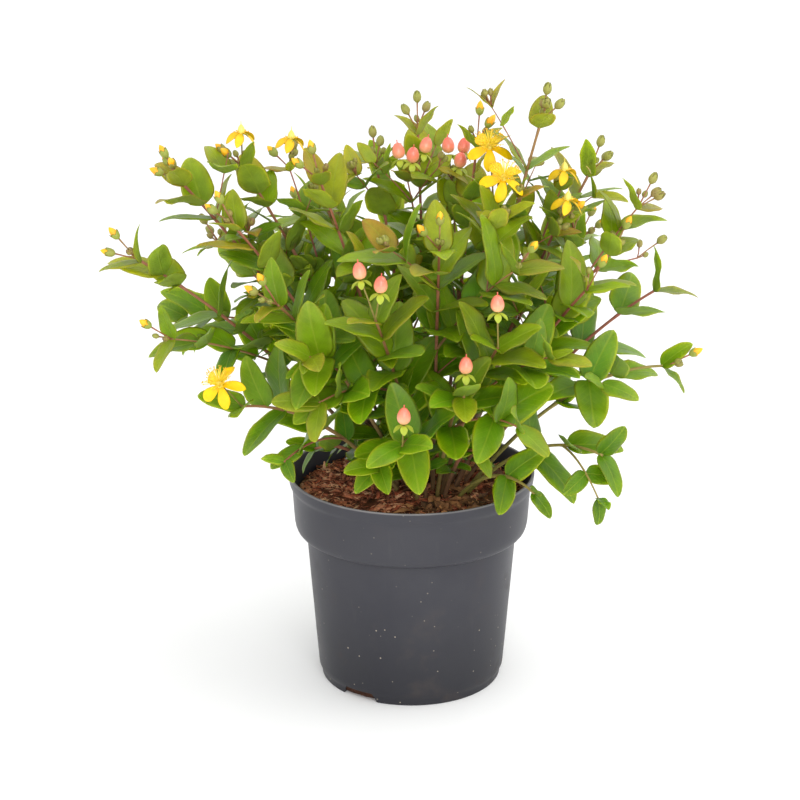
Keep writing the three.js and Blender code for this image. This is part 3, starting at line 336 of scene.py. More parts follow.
# Colours as the photograph shows them, red, green and blue out of 255
PALETTE = {
    "leaf_old": (56, 108, 32), "leaf_full": (80, 120, 3), "leaf_fresh": (124, 146, 3),
    "leaf_young": (150, 140, 24), "leaf_red": (164, 84, 44), "leaf_under": (136, 152, 66),
    "leaf_edge": (140, 152, 40), "stem_wood": (112, 82, 58), "stem_red": (152, 90, 70),
    "stem_green": (140, 138, 64), "sepal": (148, 158, 74), "sepal_red": (148, 108, 78),
    "bud_yellow": (246, 190, 24), "bud_orange": (236, 150, 36), "calyx": (176, 192, 62),
    "berry_skin": (244, 136, 108), "berry_pale": (250, 184, 140), "berry_cheek": (228, 92, 78),
    "petal": (246, 204, 4), "petal_deep": (240, 176, 4), "filament": (250, 224, 60),
    "anther": (236, 176, 20), "ovary": (236, 228, 120), "faded": (236, 198, 26),
    "faded_edge": (220, 164, 28), "soil": (134, 84, 56), "soil_dark": (68, 40, 26),
    "dry_twig": (126, 84, 62), "pot_dark": (54, 54, 60), "pot_light": (60, 60, 65),
    "pot_streak": (88, 86, 84), "pot_painted_highlight": (168, 164, 164), "pot_painted_shade": (32, 32, 36),
    "speck": (196, 184, 164), "dust": (104, 88, 74),
}
CHIP_COLOURS = [
    (168, 102, 72), (150, 90, 64), (120, 70, 48), (88, 50, 32), (192, 128, 94), (160, 86, 58),
    (206, 158, 120), (104, 64, 44),
]

# Plain finishes: roughness, specular, scale and spread of the mottling, strength and depth of the relief
FINISHES = {
    "stem": (0.55, 0.35, 420, 0.16, 0.4, 0.0003), "sepal": (0.5, 0.35, 350, 0.1, 0.3, 0.0001),
    "bud": (0.42, 0.4, 380, 0.08, 0.2, 0.0001), "ovary": (0.35, 0.5, 420, 0.06, 0.2, 0.0001),
    "bark": (0.88, 0.2, 520, 0.34, 0.9, 0.0008), "dry_leaf": (0.8, 0.2, 300, 0.25, 0.7, 0.0004),
}


def linear(colour):
    """A colour out of 255 as linear values."""
    share = np.asarray(colour, float) / 255
    return np.where(share <= 0.04045, share / 12.92, ((share + 0.055) / 1.055) ** 2.4)


COLOURS = {name: linear(value) for name, value in PALETTE.items()}


def mixed(first, second, share):
    """Two colours mixed, for one share or one for each point."""
    share = np.clip(np.asarray(share, float), 0, 1)[..., None]
    return np.asarray(first) * (1 - share) + np.asarray(second) * share


def normalised(vector):
    return vector / np.linalg.norm(vector)


def turned(vector, axis, angle):
    """A vector turned about a unit axis by an angle in radians."""
    along = axis * (vector @ axis)
    return along + (vector - along) * math.cos(angle) + np.cross(axis, vector) * math.sin(angle)


def pointing(heading, rise=0.0):
    """The way ahead for a heading in radians, with a rise."""
    return np.array([math.cos(heading), math.sin(heading), rise])


def generator(seed):
    """The part source's own small seeded generator."""
    mask = 0xFFFFFFFF
    state = seed
    while True:
        state = (state + 0x6D2B79F5) & mask
        t = ((state ^ (state >> 15)) * (state | 1)) & mask
        t ^= (t + (t ^ (t >> 7)) * (t | 61)) & mask
        yield ((t ^ (t >> 14)) & mask) / 4294967296


def drawn(draw, random):
    return draw[0] + draw[1] * next(random)


def draw_habit(plan, random):
    for key in ("slim", "droop", "fold", "sway"):
        plan[key] = drawn(DRAWS[key], random)


class Piece:
    """The faces of one object, with a colour and blade coordinates for each point."""

    def __init__(self, name, slot):
        self.name = name
        self.slot = slot
        self.points = []
        self.colours = []
        self.blades = []
        self.faces = []
        self.face_materials = []
        self.materials = []
        self.size = 0

    def add(self, points, faces, material, colours, blades=None):
        points = np.asarray(points, float)
        if material not in self.materials:
            self.materials.append(material)
        colours = np.broadcast_to(np.asarray(colours, float), (len(points), 3))
        self.points.append(points)
        self.colours.append(colours)
        self.blades.append(np.zeros((len(points), 3)) if blades is None else blades)
        self.faces += [tuple(corner + self.size for corner in face) for face in faces]
        self.face_materials += [self.materials.index(material)] * len(faces)
        self.size += len(points)

    def build(self, *replaced):
        mesh = bpy.data.meshes.new(self.name)
        points = np.clip(np.concatenate(self.points), LOW, HIGH)
        mesh.from_pydata((points * MM).tolist(), [], self.faces)
        for material in self.materials:
            mesh.materials.append(MATERIALS[material])
        mesh.polygons.foreach_set("material_index", self.face_materials)
        mesh.polygons.foreach_set("use_smooth", [True] * len(self.faces))
        tint = mesh.color_attributes.new("Tint", "FLOAT_COLOR", "POINT")
        colours = np.concatenate(self.colours)
        tint.data.foreach_set("color", np.hstack([colours, np.ones((len(colours), 1))]).ravel())
        blade = mesh.attributes.new("Blade", "FLOAT_VECTOR", "POINT")
        blade.data.foreach_set("vector", np.concatenate(self.blades).ravel())
        mesh.update()
        return settle(bpy.data.objects.new(self.name, mesh), self.slot, *replaced)


def settle(piece, slot, *replaced):
    """Links a piece and ties it to the frame: its body and what it stands for. The slot is not used."""
    if not piece.users_collection:
        bpy.context.scene.collection.objects.link(piece)
    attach(piece, "root")
    if replaced:
        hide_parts(*replaced)
    return piece


class Sheet:
    """A two-layered blade as shares along and across, with a rim that both layers share."""

    def __init__(self, outline, columns):
        self.rows = len(outline) - 1
        self.columns = columns
        last = len(columns) - 1
        self.index = {}
        self.shares = []
        self.outline = outline
        self.faces = []
        for layer in (1, -1):
            for row in range(self.rows):
                for column in range(last):
                    near = [(row, column), (row + 1, column), (row + 1, column + 1), (row, column + 1)]
                    a, b, c, d = (self.corner(*at, layer) for at in near)
                    # Both layers are split along the same diagonal, so that they never cross
                    for triangle in ((a, b, c), (a, c, d)):
                        if len(set(triangle)) == 3:
                            self.faces.append(triangle[::layer])
        self.along, self.half, self.across, self.layer = np.array(self.shares).T
        self.blunt_half = np.interp(self.along, *np.array(BLUNT_OUTLINE).T) * self.across

    def half_width(self, blunt):
        return self.half if blunt == 0 else self.half * (1 - blunt) + self.blunt_half * blunt

    def corner(self, row, column, layer):
        if row == self.rows:
            column, layer = 0, 0
        if column in (0, len(self.columns) - 1):
            layer = 0
        key = (row, column, layer)
        if key not in self.index:
            along, half = self.outline[row]
            across = 0 if row == self.rows else self.columns[column]
            self.index[key] = len(self.shares)
            self.shares.append((along, half * across, across, layer))
        return self.index[key]


COLUMNS = (-1, -0.84, -0.5, 0, 0.5, 0.84, 1)
LEAF = Sheet(LEAF_OUTLINE, COLUMNS)
SMALL_LEAF = Sheet(SMALL_OUTLINE, (-1, -0.6, 0, 0.6, 1))
PETAL_SHEET = Sheet(PETAL_OUTLINE, COLUMNS)
COARSE = Sheet([(0.12, 0.66), (0.38, 1), (0.73, 0.62), (1, 0)], (-1, 0, 1))


def blade_frame(root, along, up):
    ahead = normalised(along)
    above = normalised(up - ahead * (up @ ahead))
    return {"root": root, "ahead": ahead, "above": above, "side": np.cross(above, ahead)}


def blade_points(place, form, sheet, thick=0.4):
    """The points of a blade: it droops to its tip, folds along its midrib and waves at its edges."""
    s, across = sheet.along, sheet.across
    half = sheet.half_width(form.get("blunt", 0))
    length, width = form["length"], form["width"]
    fold = np.sqrt(half ** 2 + 0.006) - 0.077
    rise = -form["droop"] * length * s ** 2 + form["fold"] * width * 0.5 * fold
    wave = np.sin(2 * math.pi * (1.7 * s + form["phase"]) + 1.2 * np.sign(across))
    rise = rise + form["wave"] * width * wave * half ** 2
    rise = rise - form.get("curl", 0) * width * half ** 4 - form.get("hook", 0) * length * s ** 6
    body = thick / 2 * np.sqrt(np.maximum(1 - across ** 2, 0)) * (1 - 0.5 * s)
    rise = rise + sheet.layer * body - 0.3 * thick * np.exp(-((across / 0.16) ** 2))
    sideways = width * half / 2 + form["sway"] * length * s ** 2
    return (
        place["root"]
        + np.outer(length * s, place["ahead"])
        + np.outer(sideways, place["side"])
        + np.outer(rise, place["above"])
    )


def blade_tip(place, form):
    """The middle of a blade's tip, as the part's source has it."""
    length = form["length"]
    return (
        place["root"]
        + place["ahead"] * length
        + place["side"] * form["sway"] * length
        - place["above"] * form["droop"] * length
    )


class Shoot:
    """One leafy shoot along a plane arc, with the same pairs of leaves as in the part's source."""

    def __init__(self, name, node, base, row, seed, radius):
        x, y, z, arch, self.bare, self.leaf, self.turn, self.buds = row
        self.name = name
        self.node = node
        self.base = base
        self.tip = np.array([x, y, z], float)
        self.control = (base + self.tip) / 2 + UP * arch
        self.plane = normalised(np.cross(self.tip - base, self.control - base))
        self.seed = seed
        self.radius = radius
        self.pairs = self.pair_plans()

    def point(self, t):
        return self.base * (1 - t) ** 2 + self.control * 2 * t * (1 - t) + self.tip * t * t

    def tangent(self, t):
        return normalised((self.control - self.base) * (1 - t) + (self.tip - self.control) * t)

    def length(self):
        legs = np.linalg.norm(self.base - self.control) + np.linalg.norm(self.control - self.tip)
        return (2 * np.linalg.norm(self.base - self.tip) + legs) / 3

    def pair_plans(self):
        random = generator(self.seed)
        count = max(2, math.floor(self.length() * (1 - self.bare) / PAIR_SPACING + 0.5))
        plans = []
        for pair in range(count):
            share = (pair + 1) / count
            t = min(self.bare + (1 - self.bare) * share, LAST_PAIR)
            size = self.leaf * (1 - LARGEST["fall"] * (share - LARGEST["share"]) ** 2)
            angle = self.turn + drawn(DRAWS["swing"], random)
            leaves = []
            for half in (0, 180):
                plan = {"t": t, "angle": angle + pair * 90 + half}
                plan["lift"] = LIFT_TO_TIP * share + drawn(DRAWS["lift"], random)
                plan["length"] = size * drawn(DRAWS["length"], random)
                draw_habit(plan, random)
                leaves.append(plan)
            plans.append({"t": t, "angle": angle, "turned": angle + pair * 90, "leaves": leaves})
        return plans

    def leaf_pose(self, plan, bend, shrink):
        tangent = self.tangent(plan["t"])
        raised = np.cross(tangent, self.plane)
        round_stem = math.radians(plan["angle"] + bend[0])
        lift = math.radians(plan["lift"] + bend[1])
        outward = self.plane * math.cos(round_stem) + raised * math.sin(round_stem)
        along = outward * math.cos(lift) + tangent * math.sin(lift) + UP * LEAF_RISE
        place = blade_frame(self.point(plan["t"]), along, tangent + UP)
        length = plan["length"] * shrink
        form = {key: plan[key] for key in ("droop", "fold", "sway")}
        form.update(length=length, width=length * LEAF_WIDTH * plan["slim"] * FULLER)
        form["fold"] *= 0.7
        form.update({key: plan.get(key, 0) for key in ("wave", "phase", "blunt", "curl", "hook")})
        return place, form


def stem_base(x, y, z):
    """Stems leave the crown on the side that they lean to, the outer ones further out."""
    lean = np.array([x - CROWN[0], y - CROWN[1], 0.0])
    slope = math.atan2(np.linalg.norm(lean), z - CROWN[2])
    return CROWN + normalised(lean) * (CROWN_SPREAD["least"] + CROWN_SPREAD["more"] * slope)


def grow_shoots():
    grown = {}
    for i, (name, *row) in enumerate(STEMS):
        grown[name] = Shoot(name, name, stem_base(*row[:3]), row, 101 + i, STEM_RADIUS)
    for i, (parent, where, *row) in enumerate(SIDE_SHOOTS):
        base = grown[parent].point(where)
        grown[f"{parent}.2"] = Shoot(f"{parent}.2", parent, base, row, 501 + i, TWIG_RADIUS)
    return grown


SHOOTS = grow_shoots()
BEARING = {row[1] for row in (*BERRIES, *FLOWERS, *SPENT_FLOWERS)}
BERRY_VIEW, FLOWER_VIEW, BUD_VIEW = 11, 17, 7


def bud_plans(shoot):
    """The buds at a shoot's tip: the first goes straight on, the others leave from its sides."""
    tangent = normalised(shoot.tangent(1) + UP * 0.5)
    raised = normalised(np.cross(tangent, shoot.plane))
    plans = []
    for bud in range(shoot.buds):
        i = bud + 1 if shoot.name in BEARING else bud
        angle = math.radians(shoot.pairs[-1]["angle"] + 90 * (i - 1))
        spread = BUD["spread"] if i else 0
        out = shoot.plane * math.cos(angle) + raised * math.sin(angle)
        reach = BUD["side_reach"] + BUD["stagger"] * (i % 2) if i else BUD["reach"]
        plans.append({"along": normalised(tangent + out * spread), "reach": reach})
    return plans


def node_corners(node):
    """The points of a CAD node, for finding which leaves it holds."""
    vertices = NODES[node].data.vertices
    tree = KDTree(len(vertices))
    for i, vertex in enumerate(vertices):
        tree.insert(vertex.co / MM, i)
    tree.balance()
    return tree


def held_pose(shoot, plan, corners):
    """The bend and size with which the CAD node holds a leaf, or None if it was left out there."""
    for shrink in SHRINKS:
        for bend in BENDS:
            place, form = shoot.leaf_pose(plan, bend, shrink)
            tip = blade_tip(place, form)
            offset = place["above"] * LEAF_THICKNESS / 2
            if all(corners.find(Vector(tip + side * offset))[2] < HELD_WITHIN for side in (1, -1)):
                return place, form
    return None


def smaller(form, share):
    return dict(form, length=form["length"] * share, width=form["width"] * share)


STRIP_FACES = [(0, 1, 2, 3)]


def line_blades(points, radius):
    """A stretch of stem or stalk, as two crossed strips for each step."""
    strips = []
    for start, end in zip(points[:-1], points[1:]):
        ahead = normalised(end - start)
        side = normalised(np.cross(ahead, UP + ahead[::-1] * 0.1))
        for out in (side, np.cross(ahead, side)):
            corners = [start - out * radius, start + out * radius]
            strips.append(np.array([*corners, end + out * radius, end - out * radius]))
    return strips


class Crowd:
    """Everything that has grown so far, for the leaves that come after to keep clear of."""

    def __init__(self):
        self.centres = []
        self.reaches = []
        self.trees = []

    def add(self, points, faces):
        centre = points.mean(0)
        self.centres.append(centre)
        self.reaches.append(np.linalg.norm(points - centre, axis=1).max())
        self.trees.append(BVHTree.FromPolygons(points.tolist(), faces))

    def add_line(self, points, radius):
        for strip in line_blades(points, radius):
            self.add(strip, STRIP_FACES)

    def is_clear(self, points, faces):
        centre = points.mean(0)
        reach = np.linalg.norm(points - centre, axis=1).max()
        gaps = np.linalg.norm(np.array(self.centres) - centre, axis=1)
        near = np.nonzero(gaps < np.array(self.reaches) + reach)[0]
        tree = BVHTree.FromPolygons(points.tolist(), faces)
        return not any(tree.overlap(self.trees[i]) for i in near)


CROWD = Crowd()
TILT = math.radians(CAMERA["elevation"])
CAMERA_BACK = np.array([0, -math.cos(TILT), math.sin(TILT)])
CAMERA_PLACE = np.array(CAMERA["target"]) + CAMERA_BACK * CAMERA["distance"]
BLOOMS = [*FLOWERS, *SPENT_FLOWERS]
OPEN_VIEWS = [(np.array(row[2:5], float), BERRY_VIEW) for row in BERRIES]
OPEN_VIEWS += [(np.array(row[2:5], float), FLOWER_VIEW) for row in BLOOMS]
COARSE_FACES = COARSE.faces[: len(COARSE.faces) // 2]


def clear_of_pot(points):
    """Leaves what scene.py adds out of the soil and the rim, and off the bare zone below the crown."""
    radius = np.hypot(points[:, 0], points[:, 1])
    low = (radius > OPEN_ZONE["radius"]) & (points[:, 2] < OPEN_ZONE["below"])
    low |= (points[:, 0] > OPEN_ZONE["right"]) & (points[:, 2] < OPEN_ZONE["right_below"])
    for (left, under), (right, over) in OPEN_GAPS:
        aside = (points[:, 0] > left) & (points[:, 0] < right)
        low |= aside & (points[:, 2] > under) & (points[:, 2] < over)
    in_soil = (radius < POT_ZONE["soil"]) & (points[:, 2] < SOIL_TOP + POT_ZONE["soil_above"])
    on_rim = (radius > POT_ZONE["rim_inner"]) & (radius < POT_ZONE["rim_outer"])
    on_rim &= points[:, 2] < POT_LIP[1][1] + POT_ZONE["rim_above"]
    return not (in_soil | on_rim | low).any()


def in_crown(point):
    rise = (point[2] - TWIG["above"]) / (TWIG["widest"] - TWIG["above"])
    return rise > 0 and math.hypot(point[0], point[1]) < TWIG["within"] + TWIG["wider"] * min(rise, 1)


def leaves_view_open(points):
    """Nothing that scene.py adds stands before a flower, a berry or a bud, seen from the front."""
    places = np.array([place for place, _ in OPEN_VIEWS])
    radii = np.array([radius for _, radius in OPEN_VIEWS])[:, None]
    to_camera = CAMERA_PLACE - places
    to_camera /= np.linalg.norm(to_camera, axis=1)[:, None]
    offsets = points[None] - places[:, None]
    ahead = (offsets * to_camera[:, None]).sum(2)
    aside = np.linalg.norm(offsets - ahead[..., None] * to_camera[:, None], axis=2)
    return not ((ahead > 0) & (aside < radii)).any()


def inside_box(points):
    return bool((points > LOW + 0.5).all() and (points < HIGH - 0.5).all())


def leaf_colours(sheet, look):
    """The colour of each point of a leaf: greener inside, olive and red towards the shoot's tip, made darker
    or lighter by the look's painted light and shade, with painted shade along the margins.
    """
    age, red, shade = look["age"], look["red"], look["shade"]
    base = mixed(COLOURS["leaf_full"], COLOURS["leaf_fresh"], np.clip((age - 0.25) * 2, 0, 1))
    base = mixed(base, COLOURS["leaf_young"], np.clip((age - 0.62) * 2.4, 0, 0.85))
    base = mixed(base, COLOURS["leaf_old"], look["old"])
    edge = np.abs(sheet.across) ** 6 * 0.12 + 0.08 * sheet.along
    blush = red * (0.3 * sheet.along ** 2 + 0.6 * np.abs(sheet.across) ** 4)
    colours = mixed(base, COLOURS["leaf_edge"], edge)
    colours = mixed(colours, COLOURS["leaf_red"], blush + 0.4 * red * red)
    under = mixed(base, COLOURS["leaf_under"], 0.5)
    under = mixed(under, COLOURS["leaf_red"], blush * 0.6)
    colours = np.where((sheet.layer < 0)[:, None], under, colours)
    # Painted shade: the margins are darkened
    margin_painted_shade = 1 - 0.45 * np.abs(sheet.across) ** 8
    return colours * (shade * margin_painted_shade)[:, None]


def add_leaf(piece, place, form, look, seed):
    sheet = LEAF if form["length"] > SMALL_LENGTH else SMALL_LEAF
    points = blade_points(place, form, sheet, 0.5 if sheet is LEAF else 0.3)
    blades = np.stack([sheet.half + seed * 4, sheet.along, sheet.layer], axis=1)
    piece.add(points, sheet.faces, "leaf", leaf_colours(sheet, look), blades)


def ring_faces(rings, sides):
    """The faces between rings of points that follow one another."""
    faces = []
    for ring in range(rings - 1):
        for side in range(sides):
            a, b = ring * sides + side, ring * sides + (side + 1) % sides
            faces.append((a, b, b + sides, a + sides))
    return faces


def ring_angles(sides):
    return np.arange(sides) / sides * 2 * math.pi


def tube(points, radii, sides):
    """The points and faces of a tube through points, closed at its far end."""
    points = np.asarray(points, float)
    rings = []
    across = np.array([0.31, 0.95, 0.05])
    for i, point in enumerate(points):
        ahead = normalised(points[min(i + 1, len(points) - 1)] - points[max(i - 1, 0)])
        across = normalised(across - ahead * (across @ ahead))
        second = np.cross(ahead, across)
        for side in range(sides):
            angle = side / sides * 2 * math.pi
            rings.append(point + (across * math.cos(angle) + second * math.sin(angle)) * radii[i])
    faces = ring_faces(len(points), sides)
    faces.append(tuple(range((len(points) - 1) * sides, len(points) * sides)))
    return np.array(rings), faces


def lathe(profile, middle, axis, sides):
    """A turned form: profile is [radius, height] along an axis from a middle."""
    across = normalised(np.cross(STAR_AXIS, axis))
    second = np.cross(axis, across)
    angles = ring_angles(sides)
    ring = np.outer(np.cos(angles), across) + np.outer(np.sin(angles), second)
    points = np.concatenate([middle + axis * height + ring * radius for radius, height in profile])
    faces = ring_faces(len(profile), sides)
    faces.append(tuple(range(sides))[::-1])
    faces.append(tuple(range((len(profile) - 1) * sides, len(profile) * sides)))
    return points, faces


# Materials


class Nodes:
    """A node material being built: each call adds a node and returns its output socket."""

    def __init__(self, name, roughness, specular, **inputs):
        self.material = bpy.data.materials.new(name)
        self.material.use_nodes = True
        self.tree = self.material.node_tree
        self.shader = self.tree.nodes["Principled BSDF"]
        self.shader.inputs["Roughness"].default_value = roughness
        self.shader.inputs["Specular IOR Level"].default_value = specular
        for key, value in inputs.items():
            self.shader.inputs[key.replace("_", " ").title()].default_value = value

    def node(self, kind, inputs=None, **settings):
        """A node whose inputs, by name or number, are set to values or linked to sockets."""
        node = self.tree.nodes.new(kind)
        for key, value in settings.items():
            setattr(node, key, value)
        for key, value in (inputs or {}).items():
            self.plug(node.inputs[key], value)
        return node

    def plug(self, socket, value):
        if isinstance(value, bpy.types.NodeSocket):
            self.tree.links.new(value, socket)
        else:
            socket.default_value = value

    def attribute(self, name, output="Color"):
        return self.node("ShaderNodeAttribute", attribute_name=name).outputs[output]

    def split(self, vector):
        return self.node("ShaderNodeSeparateXYZ", {0: vector}).outputs

    def math(self, operation, first, second=0.0):
        return self.node("ShaderNodeMath", {0: first, 1: second}, operation=operation).outputs[0]

    def times(self, first, second):
        return self.math("MULTIPLY", first, second)

    def plus(self, first, second):
        return self.math("ADD", first, second)

    def ramp(self, value, low, high, start=0.0, end=1.0):
        inputs = {0: value, 1: low, 2: high, 3: start, 4: end}
        return self.node("ShaderNodeMapRange", inputs, interpolation_type="SMOOTHSTEP").outputs[0]

    def fading(self, value, low, high):
        """1 up to a low value, from where it falls to 0 at a high one."""
        return self.ramp(value, low, high, 1.0, 0.0)

    def between(self, noise, low, high):
        """A noise stretched to run between two values."""
        return self.ramp(noise, 0.3, 0.7, low, high)

    def place(self):
        return self.node("ShaderNodeTexCoord").outputs["Object"]

    def noise(self, vector, scale, detail=3.0):
        inputs = {"Vector": vector, "Scale": scale, "Detail": detail, "Roughness": 0.55}
        return self.node("ShaderNodeTexNoise", inputs).outputs["Fac"]

    def cells(self, vector, scale):
        return self.node("ShaderNodeTexVoronoi", {"Vector": vector, "Scale": scale}).outputs["Distance"]

    def blend(self, share, *ends):
        """Two colours or colour sockets mixed by a share."""
        first, second = (end if isinstance(end, bpy.types.NodeSocket) else (*end, 1) for end in ends)
        return self.node("ShaderNodeMix", {0: share, 6: first, 7: second}, data_type="RGBA").outputs[2]

    def tinted(self, factor):
        """The colour that lies on the mesh, made lighter or darker by a factor round 1."""
        inputs = {0: self.attribute("Tint"), "Scale": factor}
        return self.node("ShaderNodeVectorMath", inputs, operation="SCALE").outputs[0]

    def finish(self, colour, height, distance, strength, roughness=None):
        """Ties the colour, a relief of some depth in metres and perhaps a roughness to the shader."""
        self.plug(self.shader.inputs["Base Color"], colour)
        if roughness is not None:
            self.plug(self.shader.inputs["Roughness"], roughness)
        bump = self.node("ShaderNodeBump", {"Strength": strength, "Distance": distance, "Height": height})
        self.plug(self.shader.inputs["Normal"], bump.outputs[0])
        return self.material


def leaf_material():
    """Midrib, side veins that curve to the tip, fine mottling and a satin skin."""
    light_inside = {
        "subsurface_weight": 0.7, "subsurface_radius": (0.8, 1.0, 0.2), "subsurface_scale": 0.002,
    }
    nodes = Nodes("leaf", 0.5, 0.24, **light_inside)
    across, along, layer = nodes.split(nodes.attribute("Blade", "Vector"))
    # The share across comes with a whole number of fours, a leaf's own number, which is taken off here
    shift = nodes.plus(across, 2.0)
    local = nodes.math("SUBTRACT", nodes.math("MODULO", shift, 4.0), 2.0)
    width = nodes.math("ABSOLUTE", local)
    midrib = nodes.fading(width, 0.02, 0.07)
    slant = nodes.math("SUBTRACT", along, nodes.times(width, 0.42))
    wave = nodes.math("PINGPONG", nodes.times(slant, 7.0), 0.5)
    fade = nodes.fading(width, 0.5, 0.95)
    side_vein = nodes.times(nodes.fading(wave, 0.0, 0.09), fade)
    veins = nodes.math("MAXIMUM", midrib, nodes.times(side_vein, 0.45))
    broad = nodes.noise(nodes.place(), 70, 3)
    fine = nodes.noise(nodes.place(), 900, 2)
    mottled = nodes.between(broad, 0.84, 1.16)
    mottled = nodes.plus(mottled, nodes.between(fine, -0.04, 0.04))
    colour = nodes.tinted(mottled)
    pale = nodes.blend(0.55, colour, COLOURS["leaf_edge"])
    colour = nodes.blend(nodes.times(veins, 0.62), colour, pale)
    relief = nodes.times(veins, -1.0)
    relief = nodes.times(relief, nodes.ramp(layer, -1.0, 1.0, -1.0, 1.0))
    relief = nodes.plus(relief, nodes.times(fine, 0.35))
    gloss = nodes.ramp(layer, -1.0, 1.0, 0.66, 0.4)
    gloss = nodes.plus(gloss, nodes.between(broad, -0.05, 0.06))
    return nodes.finish(colour, relief, 0.00025, 0.6, gloss)


def tinted_material(name, roughness, specular, scale, spread, relief, distance):
    """A finish whose colour lies on the mesh, with mottling and a fine relief at one scale."""
    nodes = Nodes(name, roughness, specular)
    broad = nodes.noise(nodes.place(), scale, 4)
    fine = nodes.noise(nodes.place(), scale * 5, 3)
    factor = nodes.ramp(broad, 0.25, 0.75, 1 - spread, 1 + spread)
    height = nodes.plus(nodes.times(fine, 0.6), broad)
    return nodes.finish(nodes.tinted(factor), height, distance, relief)


def berry_material():
    """Smooth fruit skin with faint freckles."""
    light_inside = {
        "subsurface_weight": 0.15, "subsurface_radius": (1, 0.4, 0.25), "subsurface_scale": 0.002,
    }
    nodes = Nodes("berry", 0.3, 0.5, coat_weight=0.25, coat_roughness=0.2, **light_inside)
    freckles = nodes.fading(nodes.cells(nodes.place(), 900), 0.0, 0.35)
    broad = nodes.between(nodes.noise(nodes.place(), 260), 0.94, 1.06)
    colour = nodes.tinted(broad)
    colour = nodes.blend(nodes.times(freckles, 0.2), colour, COLOURS["berry_pale"])
    return nodes.finish(colour, nodes.noise(nodes.place(), 500), 0.0001, 0.25)


def petal_material():
    """Thin silky petals with fine lengthwise veins."""
    nodes = Nodes("petal", 0.5, 0.3)
    across, along, _ = nodes.split(nodes.attribute("Blade", "Vector"))
    lines = nodes.math("PINGPONG", nodes.times(across, 9.0), 0.5)
    veins = nodes.times(nodes.fading(lines, 0.0, 0.3), nodes.ramp(along, 0.05, 1, 1, 0.2))
    broad = nodes.between(nodes.noise(nodes.place(), 220), 0.93, 1.07)
    colour = nodes.tinted(broad)
    colour = nodes.blend(nodes.times(veins, 0.25), colour, COLOURS["petal_deep"])
    return nodes.finish(colour, nodes.times(veins, -1.0), 0.0001, 0.5)


def pot_material():
    """Satin dark grey moulded plastic with fine texture, scuffs and specks of dried soil, a painted
    highlight round the lip and painted shade darkening it towards the foot.
    """
    nodes = Nodes("pot_plastic", 0.42, 0.2)
    place = nodes.place()
    broad = nodes.noise(place, 14, 4)
    fine = nodes.noise(place, 1400, 2)
    stretched = nodes.node("ShaderNodeMapping", {"Vector": place, "Scale": (1, 1, 0.12)}).outputs[0]
    streaks = nodes.ramp(nodes.noise(stretched, 160, 4), 0.62, 0.78)
    height = nodes.split(place)[2]
    low = nodes.ramp(height, 0.03, 0.12, 1.0, 0.3)
    base = nodes.blend(nodes.ramp(broad, 0.3, 0.7), COLOURS["pot_dark"], COLOURS["pot_light"])
    base = nodes.blend(nodes.times(streaks, 0.08), base, COLOURS["pot_streak"])
    # Painted highlight: a light band round the top of the lip
    painted_lip_highlight = nodes.times(nodes.ramp(height, 0.1655, 0.1668), nodes.between(broad, 0.25, 0.6))
    base = nodes.blend(painted_lip_highlight, base, COLOURS["pot_painted_highlight"])
    # Painted shade: darker towards the foot
    foot = nodes.ramp(height, 0.0, 0.11, 0.62, 0.0)
    base = nodes.blend(foot, base, COLOURS["pot_painted_shade"])
    dots = nodes.fading(nodes.cells(place, 130), 0.05, 0.1)
    few = nodes.ramp(nodes.noise(place, 60, 2), 0.44, 0.54)
    specks = nodes.times(nodes.times(dots, few), low)
    base = nodes.blend(nodes.times(specks, 0.6), base, COLOURS["speck"])
    dust = nodes.times(nodes.ramp(nodes.noise(place, 42, 5), 0.52, 0.8), low)
    base = nodes.blend(nodes.times(dust, 0.16), base, COLOURS["dust"])
    gloss = nodes.plus(nodes.between(broad, 0.36, 0.46), nodes.times(dust, 0.25))
    relief = nodes.plus(fine, nodes.times(specks, 3.0))
    return nodes.finish(base, relief, 0.00012, 0.35, gloss)


MATERIALS = {name: tinted_material(name, *finish) for name, finish in FINISHES.items()}
MATERIALS.update(leaf=leaf_material(), berry=berry_material(), petal=petal_material(), pot=pot_material())


# Parts of the plant


def add_stem(piece, shoot):
    """A shoot's stem: woody at its foot, red above, a little swollen where each pair leaves it."""
    steps = np.linspace(0, 1, max(10, int(shoot.length() / STEM_STEP)))
    points = [shoot.point(t) for t in steps]
    radii = shoot.radius * (1 - STEM_TAPER * steps)
    for pair in shoot.pairs:
        from_pair = (steps - pair["t"]) * shoot.length() / JOINT["reach"]
        radii = radii * (1 + JOINT["swell"] * np.exp(-(from_pair ** 2)))
    if shoot.radius == STEM_RADIUS:
        foot = np.array([shoot.base[0], shoot.base[1], SOIL_TOP - STEM_FOOT["under"]])
        points.insert(0, foot)
        radii = np.insert(radii, 0, shoot.radius * STEM_FOOT["wider"])
        steps = np.insert(steps, 0, 0)
    points, faces = tube(points, radii, STEM_SIDES)
    share = np.repeat(steps, STEM_SIDES)
    start = 0.0 if shoot.radius == STEM_RADIUS else 0.4
    age = start + (1 - start) * share
    random = generator(shoot.seed + SEEDS["stem"])
    green = max(0.75 if shoot.name in GREEN_STEMS else 0, 0.5 * next(random) - 0.1)
    colour = mixed(COLOURS["stem_wood"], COLOURS["stem_red"], np.clip((age - 0.2) * 2.2, 0, 1))
    colour = mixed(colour, COLOURS["stem_green"], np.full(len(share), green))
    piece.add(points, faces, "stem", colour)


